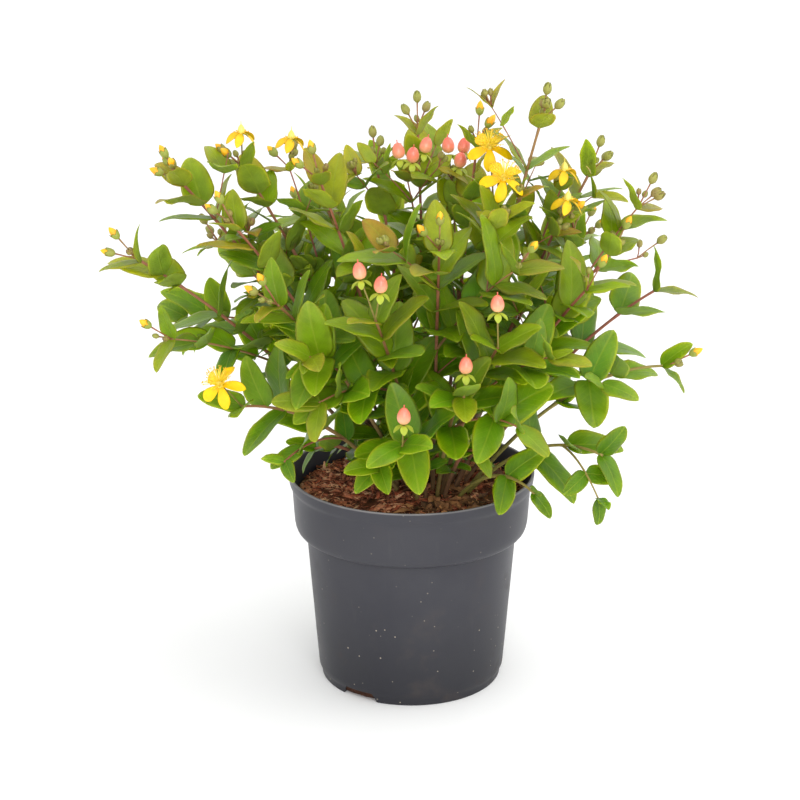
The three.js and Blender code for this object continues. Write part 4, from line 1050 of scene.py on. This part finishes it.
def add_bud(piece, start, along, reach, size, ripe, random):
    """A bud on its stalk: a yellow cone in five clasping sepals, or closed and green when young."""
    middle = start + along * reach
    bend = np.cross(along, UP) * (next(random) - 0.5) * 2
    stalk = [start, (start + middle) / 2 + bend, middle]
    colour = mixed(COLOURS["stem_red"], COLOURS["stem_green"], 0.5 * next(random))
    piece.add(*tube(stalk, BUD_STALK, 6), "stem", colour)
    length, radius = BUD["length"] * size * PLUMP, BUD["radius"] * size * PLUMP
    reach = BUD["ripe_reach"] if ripe > YOUNG else BUD["young_reach"]
    cone = [(share, height * reach) for share, height in BUD_PROFILE]
    sides = 10
    profile = [(r * radius * BUD["slim"], h * length) for r, h in cone]
    points, faces = lathe(profile, middle, along, sides)
    share = np.repeat([height for _, height in cone], sides)
    yellow = mixed(COLOURS["bud_yellow"], COLOURS["bud_orange"], (1 - share) * 0.8 + 0.3 * next(random))
    reddened = 0.6 * next(random) ** 2 + (0.3 if ripe < YOUNG else 0)
    tint = mixed(COLOURS["sepal"], COLOURS["sepal_red"], reddened)
    piece.add(points, faces, "bud", yellow if ripe > YOUNG else tint)
    add_sepal_cup(piece, middle, along, length * (0.9 - 0.4 * ripe), cone, length, radius, tint, random)


def add_sepal_cup(piece, middle, along, height, cone, length, radius, tint, random):
    """Five sepals that clasp a bud, as one lobed cup with its inner face, their tips a little apart."""
    sides, rows = SEPAL_CUP["sides"], SEPAL_CUP["rows"]
    across = normalised(np.cross(STAR_AXIS, along))
    second = np.cross(along, across)
    angles = ring_angles(sides)
    lobes = np.abs(np.cos(2.5 * angles + next(random))) ** SEPAL_CUP["lobed"]
    around = np.outer(np.cos(angles), across) + np.outer(np.sin(angles), second)
    heights, widths = [h * length for _, h in cone], [r * radius * BUD["slim"] for r, _ in cone]
    flare = drawn(SEPAL_CUP["flare"], random)
    rings, shades = [], []
    for row in (*range(rows), *range(rows - 2, -1, -1)):
        inner = len(rings) >= rows
        up = height * row / (rows - 1) * (0.58 + 0.42 * lobes)
        out = np.interp(up, heights, widths) + SEPAL_CUP["inner" if inner else "outer"]
        out = out + flare * (row / (rows - 1)) ** 4 * lobes * 0.5
        rings.append(middle + np.outer(up, along) + around * out[:, None])
        shades.append(0.6 * row / (rows - 1) * lobes)
    colours = mixed(tint, COLOURS["leaf_edge"], np.concatenate(shades))
    piece.add(np.concatenate(rings), ring_faces(len(rings), sides), "sepal", colours)


def add_buds(piece, shoot):
    random = generator(shoot.seed + SEEDS["buds"])
    for plan in bud_plans(shoot):
        ripe = drawn(RIPENESS["closed" if shoot.name in CLOSED_BUDS else "ripe"], random)
        add_bud(piece, shoot.tip, plan["along"], plan["reach"], 1, ripe, random)
        CROWD.add_line([shoot.tip, shoot.tip + plan["along"] * (plan["reach"] + BUD["length"])], 2.4)
        OPEN_VIEWS.append((shoot.tip + plan["along"] * (plan["reach"] + BUD["length"] / 2), BUD_VIEW))
    tangent = normalised(shoot.tangent(1) + UP * 0.5)
    for _ in range(SIDE_BUDS["count"] if shoot.buds else 0):
        angle = 2 * math.pi * next(random)
        out = turned(normalised(np.cross(tangent, STAR_AXIS)), tangent, angle)
        along = normalised(tangent + out * drawn(SIDE_BUDS["out"], random))
        reach, size = drawn(SIDE_BUDS["reach"], random), drawn(SIDE_BUDS["size"], random)
        add_bud(piece, shoot.tip, along, reach, size, SIDE_BUDS["ripe"], random)


def add_star(piece, middle, facing, star, sheet, material, colours, random, twist=0.0):
    """Sepals or petals round a middle, each a blade that leaves it along the CAD star's arm."""
    across = normalised(np.cross(STAR_AXIS, facing))
    for arm in range(star["arms"]):
        out = turned(across, facing, arm / star["arms"] * 2 * math.pi)
        side = np.cross(facing, out)
        length = star["reach"] * drawn(STAR["length"], random)
        place = blade_frame(middle + out * STAR["start"], out, facing + side * twist)
        form = {
            "length": length - STAR["start"], "width": star["width"] * drawn(STAR["width"], random),
            "droop": star["droop"], "fold": STAR["fold"], "sway": STAR["sway"] * (next(random) - 0.5),
            "wave": STAR["wave"], "phase": next(random),
        }
        points = blade_points(place, form, sheet, 0.35)
        blades = np.stack([sheet.half, sheet.along, sheet.layer], axis=1)
        piece.add(points, sheet.faces, material, colours(sheet), blades)


def sepal_colours(sheet):
    return mixed(COLOURS["calyx"], COLOURS["leaf_edge"], 0.6 * sheet.along)


def petal_colours(sheet):
    return mixed(COLOURS["petal"], COLOURS["petal_deep"], 0.6 * (1 - sheet.along) ** 2)


def faded_colours(sheet):
    edge = np.abs(sheet.across) ** 3 * 0.6 + 0.4 * (1 - sheet.along)
    return mixed(COLOURS["faded"], COLOURS["faded_edge"], edge)


def add_stalk(piece, start, end):
    middle = (start + end) / 2 + UP * 0.8
    colour = mixed(COLOURS["stem_green"], COLOURS["stem_red"], 0.25)
    piece.add(*tube([start, middle, end], FLOWER_STALK, 7), "stem", colour)
    CROWD.add_line([start, end], 1)


def build_berry(name, middle, along):
    """A coral berry, pointed at its tip, with what is left of its styles."""
    random = generator(int(name.split("_")[1]) + 40)
    heights = np.linspace(-1, 1, BERRY["rows"])
    profile = []
    for height in heights:
        girth = math.sqrt(max(1 - abs(height) ** BERRY["full"], 0)) * (0.96 - BERRY["narrowing"] * height)
        profile.append((BERRY["radius"] * girth * 0.985 + 0.02, height * BERRY["height"] / 2 * 0.975))
    sides = BERRY["sides"]
    points, faces = lathe(profile, middle, along, sides)
    share = np.repeat((heights + 1) / 2, sides)
    turn = np.tile(np.arange(sides) / sides, len(heights))
    cheek = 0.5 + 0.5 * np.sin(2 * math.pi * (turn + next(random)))
    colour = mixed(COLOURS["berry_pale"], COLOURS["berry_skin"], 1.5 * share - 0.1 + 0.3 * cheek)
    colour = mixed(colour, COLOURS["berry_cheek"], share ** 2 * (0.4 + 0.5 * cheek))
    piece = Piece(f"{name}_fruit", "berry")
    piece.add(points, faces, "berry", colour)
    top = middle + along * BERRY["height"] / 2 * 0.93
    across = normalised(np.cross(STAR_AXIS, along))
    for style in range(3):
        out = turned(across, along, style / 3 * 2 * math.pi)
        path = [top, top + along * 1.5 + out * 0.1, top + along * 2.3 + out * 0.5]
        piece.add(*tube(path, STYLE, 5), "berry", COLOURS["berry_cheek"])
    piece.build(name)


def add_stamens(piece, middle, facing, stamens, random):
    """Thin curved filaments that spread from the middle, each with its anther."""
    facing = normalised(facing + UP * 0.7)
    across = normalised(np.cross(STAR_AXIS, facing))
    reach, rise = stamens["reach"], stamens["rise"]
    for i in range(stamens["count"]):
        out = turned(across, facing, 2 * math.pi * (i * 0.382 + 0.1 * next(random)))
        spread = reach * (0.35 + 0.65 * math.sqrt(next(random)))
        height = rise * (0.62 + 0.38 * next(random)) * (1 - 0.3 * (spread / reach) ** 2)
        foot = STAMEN_FOOT["radius"] * drawn(STAMEN_FOOT["inner"], random)
        start = middle + facing * STAMEN_FOOT["above"] + out * foot
        end = middle + facing * height + out * spread
        bow = (start + end) / 2 + facing * height * 0.06 - out * spread * 0.1
        piece.add(*tube([start, bow, end], FILAMENT, 4), "ovary", COLOURS["filament"])
        way = normalised(out + facing * next(random))
        piece.add(*lathe(ANTHER, end, way, 5), "ovary", COLOURS["anther"])


def build_flower(name, middle, facing, kind, colours):
    """A flower: petals, sepals, stamens and ovary, glossy and open or faded and hanging."""
    random = generator(len(name) * kind["seed"])
    piece = Piece(f"{name}_bloom", kind["slot"])
    seat = middle - facing * kind["below"]
    add_star(piece, seat, facing, kind["petal"], PETAL_SHEET, "petal", colours, random, kind["twist"])
    seat_below = seat - facing * kind["sepal_gap"]
    add_star(piece, seat_below, facing, kind["sepal"], SMALL_LEAF, "sepal", sepal_colours, random)
    share = np.repeat(np.linspace(0, 1, len(kind["ovary"])), OVARY_SIDES)
    colour = mixed(COLOURS["ovary"], COLOURS["bud_yellow"], 0.5 * share)
    piece.add(*lathe(kind["ovary"], middle, facing, OVARY_SIDES), "ovary", colour)
    add_stamens(piece, seat, facing, kind["stamens"], random)
    piece.build(name)


def look_of(shoot, t, random):
    """How a leaf looks at a place on a shoot: its age, its red and its brightness, which holds painted shade
    on the low leaves and painted light on those inside the crown.
    """
    place = shoot.point(t)
    height = (place[2] - SOIL_TOP) / CROWN_HEIGHT
    tip = 0.34 * t ** 2 * np.clip(1.6 * height, 0.3, 1)
    age = np.clip(0.62 * height + tip - 0.06 + 0.34 * (next(random) - 0.5), 0, 1)
    red = np.clip((t - 0.45) * 1.8, 0, 1) * np.clip(height * 1.4 - 0.1, 0, 1) * next(random)
    shaded = 1 - np.clip(math.hypot(place[0], place[1]) / CROWN_RADIUS, 0, 1)
    old = np.clip(1.6 * next(random) - 1.2 + 0.7 * shaded * (1 - t), 0, 0.9)
    # Painted shade darkens the leaves low on the plant, and painted light brightens those near the crown's
    # middle; the rest is random tone
    clear = np.clip((place[2] - LOW_LEAF_PAINTED_SHADE["below"]) / LOW_LEAF_PAINTED_SHADE["blend"], 0, 1)
    low = LOW_LEAF_PAINTED_SHADE["shade"] + (1 - LOW_LEAF_PAINTED_SHADE["shade"]) * clear
    shade = (low + 0.29 * shaded) * (0.885 + 0.1 * next(random))
    return {"age": age, "red": red, "old": old, "shade": shade}


def vary(shoot, plan, random):
    """What scene.py adds to a leaf: wavy edges, a blunter or sharper tip, and some curl."""
    plan["wave"] = 0.02 + 0.07 * next(random) ** 2
    plan["phase"] = next(random)
    height = (shoot.point(plan["t"])[2] - SOIL_TOP) / CROWN_HEIGHT
    plan["blunt"] = np.clip(1.3 - height, 0.4, 1.1) * drawn(VARIED["blunt"], random)
    plan["curl"] = drawn(VARIED["curl"], random)
    plan["hook"] = drawn(VARIED["hook"], random)


def extra_plans(shoot, random):
    """The leaves between the CAD pairs, the old ones below them, and the small ones in the axils."""
    step = PAIR_SPACING / 2 / shoot.length()
    plans = []
    for pair in shoot.pairs:
        t = pair["t"] - step
        if t > shoot.bare * 0.6:
            for half in (0, 180):
                size = BETWEEN * (0.8 + 0.3 * next(random))
                plans.append((t, pair["turned"] - 45 + half, size, 0))
        for half in (0, 180):
            if next(random) < AXIL["share"]:
                side = AXIL["turn"] if next(random) < 0.5 else -AXIL["turn"]
                size = drawn(AXIL["size"], random)
                plans.append((pair["t"], pair["turned"] + half + side, size, AXIL["lift"]))
    first = shoot.pairs[0]
    for below in (2, 3):
        t = first["t"] - step * below
        if t > 0.1:
            for half in (0, 180):
                plans.append((t, first["turned"] + 90 * below + half, OLD_SIZE, 0))
    return plans


def fitted_pose(shoot, plan):
    """The first bend and size with which a leaf stays clear of all that has grown."""
    for shrink in ADDED_SHRINKS:
        for bend in ADDED_BENDS:
            place, form = shoot.leaf_pose(plan, bend, shrink)
            coarse = blade_points(place, form, COARSE)
            if not (clear_of_pot(coarse) and inside_box(coarse) and leaves_view_open(coarse)):
                continue
            if CROWD.is_clear(coarse, COARSE_FACES):
                CROWD.add(coarse, COARSE_FACES)
                return place, form
    return None


def grow_extra(piece, shoot, random):
    """Adds leaves that the CAD leaves out, each bent clear of all that has grown."""
    for t, angle, size, more_lift in extra_plans(shoot, random):
        plan = {"t": t, "angle": angle + 20 * (next(random) - 0.5)}
        plan["length"] = shoot.leaf * size
        least, more = DRAWS["lift"]
        plan["lift"] = least + LIFT_TO_TIP * t + more * next(random) + more_lift
        draw_habit(plan, random)
        vary(shoot, plan, random)
        look = look_of(shoot, t, random)
        fitted = fitted_pose(shoot, plan)
        if fitted:
            add_leaf(piece, *fitted, look, int(next(random) * 200))


def twig_at(shoot, pair, half, seed, random):
    """A short twig out of the axil of a leaf, with its own small pairs."""
    start = shoot.point(pair["t"])
    tangent = shoot.tangent(pair["t"])
    raised = np.cross(tangent, shoot.plane)
    angle = math.radians(pair["turned"] + half + 60 * (next(random) - 0.5))
    out = shoot.plane * math.cos(angle) + raised * math.sin(angle)
    reach = drawn(TWIG["reach"], random)
    tip = start + normalised(out * 0.8 + tangent * 0.55 + UP * 0.35) * reach
    leaf = shoot.leaf * drawn(TWIG["leaf"], random)
    row = (*tip, TWIG["arch"], TWIG["bare"], leaf, 90 * next(random), 0)
    return Shoot(f"{shoot.name}_twig", shoot.node, start, row, seed, TWIG["radius"])


def grow_twig(piece, shoot, twig, random):
    """Adds a twig if there is air for it and for two of its leaves; high ones may end in buds."""
    line = np.array([twig.point(t) for t in (0.25, 0.5, 0.75, 1)])
    if not (clear_of_pot(line) and inside_box(line) and in_crown(twig.tip)):
        return False
    blades = line_blades(line, TWIG["radius"])
    if not all(CROWD.is_clear(points, STRIP_FACES) for points in blades):
        return False
    leaves = []
    for plan in [plan for pair in twig.pairs for plan in pair["leaves"]]:
        vary(shoot, plan, random)
        fitted = fitted_pose(twig, plan)
        if fitted:
            leaves.append((fitted, look_of(twig, plan["t"], random)))
    if len(leaves) < 2:
        return False
    for points in blades:
        CROWD.add(points, STRIP_FACES)
    add_stem(piece, twig)
    for fitted, look in leaves:
        add_leaf(piece, *fitted, look, int(next(random) * 200))
    if twig.tip[2] > TWIG["budding"] and next(random) < TWIG["budded"]:
        for side in range(3):
            spread = turned(shoot.plane, twig.tangent(1), side * 2.1)
            along = normalised(twig.tangent(1) + spread * 0.5 + UP * 0.6)
            size = drawn(TWIG["bud_size"], random)
            add_bud(piece, twig.tip, along, drawn(TWIG["bud_reach"], random), size, TWIG["ripe"], random)
    return True


def grow_twigs(piece, shoot, random):
    """Fills the room between the stems with side twigs wherever there is air for one."""
    for number, pair in enumerate(shoot.pairs[:-1]):
        for half in (0, 180):
            if next(random) > TWIG["share"]:
                continue
            for attempt in range(TWIG["attempts"]):
                seed = shoot.seed * 100 + number * 10 + (5 if half else 0) + attempt
                if grow_twig(piece, shoot, twig_at(shoot, pair, half, seed, random), random):
                    break


def add_berries(pieces):
    """Each berry over its calyx, on a stalk from its shoot's tip."""
    for name, shoot_name, x, y, z in BERRIES:
        shoot = SHOOTS[shoot_name]
        middle = np.array([x, y, z], float)
        along = normalised(normalised(middle - shoot.tip) + UP)
        seat = middle - along * (BERRY["height"] / 2 + SEAT_GAP + 0.5)
        add_stalk(pieces[shoot.node], shoot.tip, seat)
        random = generator(x + 700)
        add_star(pieces[shoot.node], seat, along, CALYX, PETAL_SHEET, "sepal", sepal_colours, random)
        CROWD.add_line([middle - along * 7, middle + along * 6], 4.6)
        build_berry(name, middle, along)


def add_flowers(pieces):
    for rows, kind, colours, foot in (
        (FLOWERS, OPEN_FLOWER, petal_colours, 1),
        (SPENT_FLOWERS, SPENT_FLOWER, faded_colours, 3),
    ):
        for name, shoot_name, x, y, z, way in rows:
            shoot = SHOOTS[shoot_name]
            middle = np.array([x, y, z], float)
            facing = normalised(np.array(way, float))
            add_stalk(pieces[shoot.node], shoot.tip, middle - facing * foot)
            CROWD.add_line([middle - facing * 4, middle + facing * 8], 8)
            build_flower(name, middle, facing, kind, colours)


def add_paired_leaves(pieces):
    """Regrows the leaves where the CAD holds them, then fits in those that it left out."""
    dropped = []
    for shoot in SHOOTS.values():
        corners = node_corners(shoot.node)
        random = generator(shoot.seed + SEEDS["pairs"])
        for pair in shoot.pairs:
            for plan in pair["leaves"]:
                vary(shoot, plan, random)
                look = look_of(shoot, plan["t"], random)
                held = held_pose(shoot, plan, corners)
                if held is not None and shoot.name in SLIGHT_SHOOTS:
                    held = (held[0], smaller(held[1], SLIGHT_SHOOTS[shoot.name]))
                if held is None:
                    dropped.append((shoot, plan, look))
                    continue
                CROWD.add(blade_points(*held, COARSE), COARSE_FACES)
                add_leaf(pieces[shoot.node], *held, look, int(next(random) * 200))
    for shoot, plan, look in dropped:
        fitted = fitted_pose(shoot, plan)
        if fitted:
            add_leaf(pieces[shoot.node], *fitted, look, 3)


def build_plant():
    pieces = {name: Piece(f"{name}_shoot", "foliage") for name, *_ in STEMS}
    for shoot in SHOOTS.values():
        add_stem(pieces[shoot.node], shoot)
        add_buds(pieces[shoot.node], shoot)
        CROWD.add_line([shoot.point(t) for t in np.linspace(0.04, 1, 9)], shoot.radius * 0.8)
    add_berries(pieces)
    add_flowers(pieces)
    add_paired_leaves(pieces)
    for shoot in SHOOTS.values():
        grow_extra(pieces[shoot.node], shoot, generator(shoot.seed + SEEDS["between"]))
    for shoot in SHOOTS.values():
        grow_twigs(pieces[shoot.node], shoot, generator(shoot.seed + SEEDS["twigs"]))
    for name, piece in pieces.items():
        piece.build(name)


# The pot and what lies in it


def notch_cutter(azimuth):
    half = NOTCH["width"] / 2
    outline = [(-half, -2), (half, -2), (half - NOTCH["taper"], NOTCH["height"])]
    outline.append((-half + NOTCH["taper"], NOTCH["height"]))
    points = [(x, -depth, z) for depth in (NOTCH["inner"], NOTCH["outer"]) for x, z in outline]
    faces = [(3, 2, 1, 0), (4, 5, 6, 7)]
    faces += [((i + 1) % 4, (i + 1) % 4 + 4, i + 4, i) for i in range(4)]
    mesh = bpy.data.meshes.new("notch")
    mesh.from_pydata([Vector(point) * MM for point in points], [], faces)
    cutter = bpy.data.objects.new("notch", mesh)
    cutter.rotation_euler = (0, 0, math.radians(azimuth))
    bpy.context.scene.collection.objects.link(cutter)
    return cutter


def build_pot():
    """The moulded pot, turned from its profile, with its drain notches cut out of the foot."""
    sides = 144
    profile = [*POT_OUTSIDE, *POT_LIP, *POT_INSIDE]
    points, faces = lathe(profile, np.zeros(3), UP, sides)
    mesh = bpy.data.meshes.new("pot_shell")
    mesh.from_pydata((points * MM).tolist(), [], faces)
    shell = bpy.data.objects.new("pot_shell", mesh)
    bpy.context.scene.collection.objects.link(shell)
    cutters = [notch_cutter(azimuth) for azimuth in NOTCH_AZIMUTHS]
    for cutter in cutters:
        cut = shell.modifiers.new("notch", "BOOLEAN")
        cut.operation = "DIFFERENCE"
        cut.solver = "EXACT"
        cut.object = cutter
    bpy.context.view_layer.update()
    shaped = shell.evaluated_get(bpy.context.evaluated_depsgraph_get())
    shell.data = bpy.data.meshes.new_from_object(shaped)
    shell.modifiers.clear()
    for cutter in cutters:
        bpy.data.objects.remove(cutter)
    shell.data.materials.clear()
    shell.data.materials.append(MATERIALS["pot"])
    shell.data.polygons.foreach_set("use_smooth", [True] * len(shell.data.polygons))
    shell.data.set_sharp_from_angle(angle=math.radians(32))
    settle(shell, "pot_plastic", "pot")


def soil_relief(x, y):
    swell = 2.1 * np.sin(x / 9 + 0.8) * np.cos(y / 11 + 0.4)
    return swell + 1.3 * np.sin((x + 1.4 * y) / 6.3)


def soil_height(x, y):
    """The compost's top: the CAD relief, which runs down to the wall at its edge."""
    share = np.hypot(x, y) / SOIL_RADIUS
    outer = np.clip((1 - share) / (1 - SOIL_SHOULDER), 0, 1)
    return SOIL_EDGE + (SOIL_TOP + 0.8 * soil_relief(x, y) - SOIL_EDGE) * outer


def build_soil():
    """A rough bed of compost under the chips and fibres, with painted shade on its sides down the wall."""
    random = np.random.default_rng(5)
    rings, sides = SOIL_MESH["rings"], SOIL_MESH["sides"]
    radii = SOIL_RADIUS * np.linspace(1, 0, rings)
    angles = ring_angles(sides)
    x = np.outer(radii, np.cos(angles)).ravel()
    y = np.outer(radii, np.sin(angles)).ravel()
    lumps = np.zeros_like(x)
    for _ in range(SOIL_MESH["lumps"]):
        heading, size = random.uniform(0, 2 * math.pi), random.uniform(1.6, 7)
        across = x * math.cos(heading) + y * math.sin(heading)
        lumps += 0.16 * np.sin(across / size + random.uniform(0, 6))
    points = np.stack([x, y, soil_height(x, y) + lumps], axis=1)
    faces = ring_faces(rings, sides)
    # Down inside the pot it follows the wall to the floor
    above = 0
    for radius, height in SOIL_SIDE:
        lower = points[:sides] * (radius / SOIL_RADIUS, radius / SOIL_RADIUS, 0) + (0, 0, height)
        first = len(points)
        points = np.concatenate([points, lower])
        for i in range(sides):
            after = (i + 1) % sides
            faces.append((first + i, first + after, above + after, above + i))
        above = first
    faces.append(tuple(range(above, above + sides))[::-1])
    piece = Piece("compost_bed", "compost")
    shade = 0.5 + 0.5 * np.sin(points[:, 0] * 1.7 + 2 * np.cos(points[:, 1] * 1.3))
    # Painted shade: below the top edge the compost takes its dark colour
    shade = np.where(points[:, 2] < SOIL_EDGE - 1, 0, shade)
    piece.add(points, faces, "bark", mixed(COLOURS["soil_dark"], COLOURS["soil"], shade))
    piece.build("soil")


def strewn(random, reach):
    """A place on the compost, drawn evenly from its circle."""
    radius = SOIL_RADIUS * reach * math.sqrt(random.uniform())
    angle = random.uniform(0, 2 * math.pi)
    return radius * math.cos(angle), radius * math.sin(angle)


def bark_colour(random, brightest):
    return linear(CHIP_COLOURS[random.integers(len(CHIP_COLOURS))]) * random.uniform(1.1, brightest)


def build_chips():
    """Flat bark chips and thin fibres, strewn over the bed."""
    random = np.random.default_rng(11)
    chips = Piece("bark_chips", "compost")
    fibres = Piece("bark_fibres", "compost")
    box = np.array([(x, y, z) for x in (-1, 1) for y in (-1, 1) for z in (-1, 1)], float)
    faces = [(0, 1, 3, 2), (4, 6, 7, 5), (0, 4, 5, 1), (2, 3, 7, 6), (0, 2, 6, 4), (1, 5, 7, 3)]
    for _ in range(CHIPS["count"]):
        x, y = strewn(random, CHIPS["reach"])
        length = random.uniform(*CHIPS["length"])
        length *= CHIPS["long"] if random.uniform() < CHIPS["long_share"] else 1
        half = [length, length * random.uniform(*CHIPS["width"]), random.uniform(*CHIPS["thick"])]
        taper = np.where(box[:, :1] > 0, random.uniform(0.3, 1), 1.0)
        shape = box * half * np.hstack([np.ones((8, 1)), taper, taper])
        shape += random.uniform(-0.25, 0.25, (8, 3)) * half
        heading, tilt = random.uniform(0, 2 * math.pi), random.normal(0, 0.26)
        roll = random.normal(0, 0.4)
        ahead = pointing(heading) * math.cos(tilt) + UP * math.sin(tilt)
        side = normalised(np.cross(UP, ahead)) * math.cos(roll) + UP * math.sin(roll)
        side = normalised(side - ahead * (side @ ahead))
        turned_shape = shape @ np.stack([ahead, side, np.cross(ahead, side)])
        height = soil_height(x, y) + random.uniform(0, 1.5) + abs(tilt) * length * 0.5
        colour = bark_colour(random, CHIPS["brightest"])
        chips.add(turned_shape + (x, y, height), faces, "bark", colour)
    for _ in range(FIBRES["count"]):
        x, y = strewn(random, FIBRES["reach"])
        heading, length = random.uniform(0, 2 * math.pi), random.uniform(*FIBRES["length"])
        ahead = pointing(heading, random.normal(0, 0.12))
        bow = np.cross(ahead, UP) * random.normal(0, 0.14) * length
        start = np.array([x, y, soil_height(x, y) + random.uniform(0.3, 2.2)])
        points = [start - ahead * length / 2, start + bow, start + ahead * length / 2]
        points = [p for p in points if math.hypot(p[0], p[1]) < SOIL_RADIUS - 0.5]
        if len(points) < 3:
            continue
        thick = random.uniform(*FIBRES["thick"])
        colour = bark_colour(random, FIBRES["brightest"])
        fibres.add(*tube(points, [thick * 0.6, thick, thick * 0.5], 4), "bark", colour)
    chips.build()
    fibres.build()


def dry_leaf_blade(piece, place, form, colour, seed):
    random = np.random.default_rng(seed)
    points = blade_points(place, form, LEAF, 0.5)
    points += np.outer(random.normal(0, 0.12, len(points)), place["above"])
    blotch = 0.5 + 0.5 * np.sin(5 * LEAF.along + 3 * LEAF.across + seed)
    piece.add(points, LEAF.faces, "dry_leaf", mixed(linear(colour), linear(colour) * 0.55, blotch))


def build_dry_leaves():
    """The dry leaves, each at the height at which the CAD holds its tip."""
    for i, (name, x, y, length, heading, colour) in enumerate(DRY_LEAVES):
        ahead = pointing(math.radians(heading))
        place = blade_frame(np.array([x, y, 0.0]) - ahead * length / 2, ahead, UP)
        form = dict(DRY_LEAF, length=length, width=length * DRY_LEAF["slim"], wave=0.05, phase=0.2 * i)
        tip = blade_tip(place, form)
        nearest = min(NODES[name].data.vertices, key=lambda v: math.dist(v.co[:2], tip[:2] * MM))
        place["root"] = place["root"] + UP * (nearest.co.z / MM - tip[2])
        piece = Piece(f"{name}_curl", "dry_litter")
        dry_leaf_blade(piece, place, form, colour, i)
        piece.build(name)


def build_dry_twig():
    (x0, y0), (x1, y1) = DRY_TWIG["ends"]
    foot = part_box("dry_twig")[0].z / MM + DRY_TWIG["radius"]
    shares = np.linspace(0, 1, 9)
    kinks = 0.5 * np.sin(shares * 17)
    points = [
        (x0 + (x1 - x0) * s + k * 0.6, y0 + (y1 - y0) * s - k, foot + DRY_TWIG["rise"] * s * s)
        for s, k in zip(shares, kinks)
    ]
    radii = DRY_TWIG["radius"] * (1 - 0.4 * shares) * (1 + 0.15 * np.abs(kinks))
    twig = Piece("dry_twig_bark", "dry_litter")
    twig.add(*tube(points, radii, 8), "stem", COLOURS["dry_twig"])
    twig.build("dry_twig")


def build_litter():
    """Small curled bits of dry leaf at the front and the right."""
    random = np.random.default_rng(23)
    bits = Piece("leaf_litter", "dry_litter")
    for i in range(LITTER["count"]):
        x, y = random.uniform(0, LITTER["right"]), random.uniform(LITTER["front"], LITTER["rear"][i % 2])
        ahead = pointing(random.uniform(0, 2 * math.pi), random.uniform(0, 0.35))
        length = random.uniform(*LITTER["length"])
        end = math.hypot(x + ahead[0] * length, y + ahead[1] * length)
        if max(math.hypot(x, y), end) > LITTER["radius"]:
            continue
        place = blade_frame(np.array([x, y, soil_height(x, y) + LITTER["rise"]]), ahead, UP)
        form = {
            "length": length, "width": length * random.uniform(0.4, 0.8), "droop": random.uniform(-0.1, 0.4),
            "fold": random.uniform(0.3, 0.9), "sway": 0.1, "wave": 0.12, "phase": random.uniform(),
        }
        colour = np.array(LITTER["colour"]) * random.uniform(0.5, 1.15)
        dry_leaf_blade(bits, place, form, colour, i)
    bits.build()


# The stage


def build_stage():
    world = bpy.data.worlds.new("studio")
    bpy.context.scene.world = world
    world.use_nodes = True
    sky = world.node_tree.nodes["Background"].inputs
    sky["Color"].default_value = (1, 1, 1, 1)
    sky["Strength"].default_value = SKY
    bpy.ops.mesh.primitive_plane_add(size=FLOOR["size"])
    floor = bpy.context.object
    floor.name = "floor"
    white = FLOOR["white"]
    floor.data.materials.append(Nodes("floor", 0.9, 0.1, base_color=(white, white, white, 1)).material)
    for name, place, size, power in LIGHTS:
        light = bpy.data.lights.new(name, "AREA")
        light.size = size
        light.energy = power
        lamp = bpy.data.objects.new(name, light)
        lamp.location = Vector(place) * MM
        aim = Vector(LIT_PLACE) * MM - lamp.location
        lamp.rotation_euler = aim.to_track_quat("-Z", "Y").to_euler()
        bpy.context.scene.collection.objects.link(lamp)
    view = bpy.context.scene.view_settings
    view.view_transform = "Standard"
    view.look = "None"


def build_camera():
    lens = bpy.data.cameras.new("camera")
    lens.lens = CAMERA["lens"]
    lens.sensor_width = CAMERA["sensor"]
    lens.clip_start, lens.clip_end = 0.05, 60
    camera = bpy.data.objects.new("camera", lens)
    camera.location = Vector(CAMERA_PLACE) * MM
    camera.rotation_euler = Vector(-CAMERA_BACK).to_track_quat("-Z", "Y").to_euler()
    bpy.context.scene.collection.objects.link(camera)
    bpy.context.scene.camera = camera


build_camera()
build_stage()
build_pot()
build_soil()
build_chips()
build_dry_leaves()
build_dry_twig()
build_litter()
build_plant()
